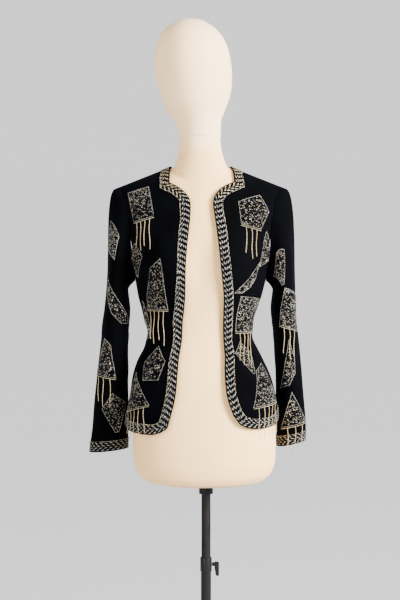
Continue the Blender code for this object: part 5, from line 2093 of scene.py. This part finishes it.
@dataclass
class DressForm:
    """The padded torso, neck and head in cream jersey."""

    jersey: bpy.types.Material
    shoulder_half: float = 0.186
    ridge_z: float = 1.3986
    bust: float = 0.019
    seams: tuple[float, ...] = (52.0, 128.0, -128.0, -52.0)
    seam_half: float = 0.5
    seam_depth: float = 0.0007
    seam_marks: tuple[float, ...] = (-1.4, -0.9, -0.45, 0.0, 0.45, 0.9, 1.4)
    sides: int = 180
    chest_rows: int = 60
    neck_seam_z: float = 1.380
    neck_seam_half: float = 0.0016
    neck_seam_depth: float = 0.0009
    neck_step: float = 0.0012
    head_step: float = 0.0020
    oval_sides: int = 96
    fold_angle: float = 60.0

    def skin(self, name: str, grid: Array) -> bpy.types.Object:
        """A closed grid of level rings, with its two ends filled.

        Args:
            name: the piece's name.
            grid: (rows, columns, 3) points, from the lowest ring up.

        Returns:
            The piece.
        """
        faces = grid_faces(*grid.shape[:2], wrap=True)
        made = add_mesh(name, grid.reshape(-1, 3), faces, self.jersey)
        close_mesh(made, sharp=self.fold_angle)
        return made

    def torso(self) -> bpy.types.Object:
        """Ovals from the lower edge to the shoulder ridge, where front and back meet.

        Each upright seam is a narrow trough, and more angles are set beside it.

        Returns:
            The torso.
        """
        middle, tall = 0.9, 9.0
        seams = tuple(Crease(a, middle, self.seam_half, tall, self.seam_depth) for a in self.seams)
        body = BodyBlock(FORM_SECTIONS, self.shoulder_half, self.ridge_z, self.bust, seams)
        angles = [np.linspace(-180, 180, self.sides, endpoint=False)]
        angles += [seam + np.array(self.seam_marks) for seam in self.seams]
        angles = np.radians(np.unique(np.round(np.concatenate(angles), 4)))
        first, second, third = (row.z for row in FORM_SECTIONS[:3])
        round_end = FORM_SECTIONS[4].z
        stops = ((first, 0), (second, 4), (third, 6), (round_end, 12), (UNDERARM_Z, self.chest_rows))
        high = UNDERARM_Z + YOKE_LENGTH * np.linspace(0, 1, self.chest_rows)[1:]
        heights = np.concatenate([stages(*stops), high])
        return self.skin("padded_torso", body.points(np.stack(np.meshgrid(angles, heights), axis=-1)))

    def ovals(self, name: str, rows: tuple[Oval, ...], step: float, seam: float) -> bpy.types.Object:
        """Level ovals on smooth curves through a table, with a shallow seam at one height.

        Args:
            name: the piece's name.
            rows: the table.
            step: the height from oval to oval.
            seam: the seam's height, or 0 where the piece has none.

        Returns:
            The piece.
        """
        heights = np.linspace(rows[0].z, rows[-1].z, int((rows[-1].z - rows[0].z) / step))
        turns = np.linspace(0, 2 * np.pi, self.oval_sides, endpoint=False)
        off = (heights - seam) / self.neck_seam_half
        groove = self.neck_seam_depth * np.exp(-(off**2))[:, None]
        at = {part.name: column(rows, part.name, heights)[:, None] for part in fields(Oval)[1:]}
        x = at["centre_x"] + (at["half_x"] - groove) * np.cos(turns)
        y = at["centre_y"] + (at["half_y"] - groove) * np.sin(turns)
        return self.skin(name, np.stack(np.broadcast_arrays(x, y, heights[:, None]), axis=-1))

    def build(self) -> None:
        """The three padded pieces."""
        dress(self.torso(), "form", "jersey", "form_torso")
        neck = self.ovals("padded_neck", NECK, self.neck_step, self.neck_seam_z)
        dress(neck, "form", "jersey", "form_torso")
        head = self.ovals("padded_head", HEAD, self.head_step, 0.0)
        dress(head, "form", "jersey", "form_head")


@dataclass
class Stand:
    """The base plate, tube, clamp, sliding pole and flange."""

    black: bpy.types.Material
    iron: bpy.types.Material
    worn: bpy.types.Material
    sides: int = 96
    bore: float = 0.0116
    arris_angle: float = 28.0

    def turned(self, name: str, profile: Sequence[tuple[float, float]], closed: bool,
               finish: bpy.types.Material) -> bpy.types.Object:
        """A profile of (radius, height) turned about the upright axis.

        Args:
            name: the piece's name.
            profile: its points in turn.
            closed: whether the last point joins the first.
            finish: its material.

        Returns:
            The piece.
        """
        radius, z = np.array(profile).T
        turns = np.linspace(0, 2 * np.pi, self.sides, endpoint=False)
        x, y = radius[:, None] * np.cos(turns), radius[:, None] * np.sin(turns)
        grid = np.stack(np.broadcast_arrays(x, y, z[:, None]), axis=-1)
        if closed:
            grid = np.concatenate([grid, grid[:1]])
        made = add_mesh(name, grid.reshape(-1, 3), grid_faces(*grid.shape[:2], wrap=True), finish)
        close_mesh(made, sharp=self.arris_angle)
        return made

    def build(self, nodes: dict[str, bpy.types.Object]) -> None:
        """The turned pieces, and the lever with a better finish.

        Args:
            nodes: the CAD nodes by name.
        """
        plate = ((0.1592, 0.0), (0.160, 0.0008), (0.160, 0.007), (0.1588, 0.0090), (0.156, 0.010),
                 (0.034, 0.014), (0.026, 0.018), (0.0228, 0.024), (0.022, 0.0315), (0.0215, 0.032))
        tube = ((self.bore, 0.0323), (0.01235, 0.0323), (0.01235, 0.4317), (self.bore, 0.4317))
        clamp = ((self.bore, 0.432), (0.0130, 0.432), (0.0140, 0.433), (0.0140, 0.464),
                 (0.0136, 0.4653), (0.0125, 0.466), (self.bore, 0.466))
        pole = ((0.010, 0.185), (0.011, 0.186), (0.011, 0.6392), (0.010, 0.6402))
        flange = ((self.bore, 0.6405), (self.bore, 0.6187), (0.0165, 0.6187), (0.017, 0.6192),
                  (0.017, 0.6397), (0.0445, 0.6407), (0.045, 0.6412), (0.045, 0.6457))
        rows = (
            ("foot_plate", plate, False, self.iron, "stand", "black_iron", "base_plate"),
            ("outer_tube", tube, True, self.black, "stand", "black_steel", "pole_tube"),
            ("clamp_collar", clamp, True, self.black, "stand", "black_steel", "pole_clamp"),
            ("inner_pole", pole, False, self.worn, "column", "worn_steel", "pole_upper"),
            ("under_flange", flange, False, self.black, "form", "black_steel", "form_flange"),
        )
        for name, profile, closed, finish, body, slot, node in rows:
            dress(self.turned(name, profile, closed, finish), body, slot, node)
        lever = nodes["clamp_lever"]
        lever.data.materials.clear()
        lever.data.materials.append(self.black)


@dataclass(frozen=True)
class Lamp:
    """A square soft light, by its place, side and power."""

    name: str
    at: Triple
    size: float
    power: float

    def light(self, target: Triple) -> None:
        """Sets the light up to face a point.

        Args:
            target: the point.
        """
        light = bpy.data.lights.new(self.name, "AREA")
        light.size, light.energy = self.size, self.power
        made = bpy.data.objects.new(self.name, light)
        made.location = self.at
        way = Vector(target) - Vector(self.at)
        made.rotation_euler = way.to_track_quat("-Z", "Y").to_euler()
        bpy.context.scene.collection.objects.link(made)


@dataclass(frozen=True)
class Studio:
    """A pale floor that sweeps up behind, soft lights and the camera."""

    eye: Triple = (-0.0144, -2.4, 1.0828)
    lens: float = 60.0
    film: float = 36.0
    grey: Colour = (0.12, 0.12, 0.12)
    mottle: float = 1.02
    glow: float = 1.12
    half_width: float = 16.0
    front_y: float = -14.0
    bend_y: float = 9.0
    bend: float = 3.0
    top: float = 16.0
    target: Triple = (0.0, 0.0, 1.1)
    lamps: tuple[Lamp, ...] = (
        Lamp("key", (2.4, -1.6, 1.9), 1.4, 570.0),
        Lamp("fill", (-2.0, -2.6, 1.5), 2.0, 125.0),
    )
    sky: Colour = (0.9, 0.93, 1.0)
    sky_strength: float = 0.55

    def sweep(self) -> None:
        """A floor that rises in a quarter circle into a wall."""
        nodes = Nodes("backdrop")
        pale = tuple(c * self.mottle for c in self.grey)
        nodes.colour(nodes.ramp(nodes.noise(0.6, 2.0), ((0.3, self.grey), (0.7, pale))))
        nodes.fix(Roughness=0.95, Specular_IOR_Level=0.1)
        nodes.fix(Emission_Strength=self.glow, Emission_Color=(1.0, 1.0, 1.0, 1.0))
        turn = np.linspace(0, np.pi / 2, 25)
        wall_y = self.bend_y + self.bend
        y = np.concatenate([[self.front_y], self.bend_y + self.bend * np.sin(turn), [wall_y]])
        z = np.concatenate([[0.0], self.bend - self.bend * np.cos(turn), [self.top]])
        x = np.array([-self.half_width, self.half_width])
        grid = np.stack(np.broadcast_arrays(x, y[:, None], z[:, None]), axis=-1)
        faces = grid_faces(*grid.shape[:2])
        add_mesh("floor_sweep", grid.reshape(-1, 3), faces, nodes.material)

    def build(self) -> None:
        """Backdrop, lights, world and camera."""
        self.sweep()
        for lamp in self.lamps:
            lamp.light(self.target)
        world = bpy.data.worlds.new("studio")
        world.use_nodes = True
        background = world.node_tree.nodes["Background"]
        background.inputs["Color"].default_value = (*self.sky, 1.0)
        background.inputs["Strength"].default_value = self.sky_strength
        bpy.context.scene.world = world
        camera = bpy.data.cameras.new("camera")
        camera.lens, camera.sensor_fit = self.lens, "VERTICAL"
        camera.sensor_width = camera.sensor_height = self.film
        made = bpy.data.objects.new("camera", camera)
        made.location, made.rotation_euler = self.eye, (math.pi / 2, 0.0, 0.0)
        bpy.context.scene.collection.objects.link(made)
        bpy.context.scene.camera = made


def main() -> None:
    """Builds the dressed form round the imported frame."""
    logging.basicConfig(level=logging.INFO, format="%(name)s: %(message)s")
    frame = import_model()
    velvet = Velvet().material()
    silver, gold = BeadGlass("silver_beads").material(), BeadGlass("gold_beads").material()
    black, iron, worn = (steel.material() for steel in (BLACK_STEEL, BLACK_IRON, WORN_STEEL))
    Studio().build()
    Stand(black, iron, worn).build(frame["nodes"])
    DressForm(Jersey().material()).build()
    body = BodyBlock(
        CLOTH_SECTIONS,
        shoulder_half=0.203,
        ridge_z=1.4027,
        bust=0.020,
        creases=BODY_CREASES,
    )
    Jacket(Cut(body), velvet, silver, gold).build()


if __name__ == "__main__":
    main()
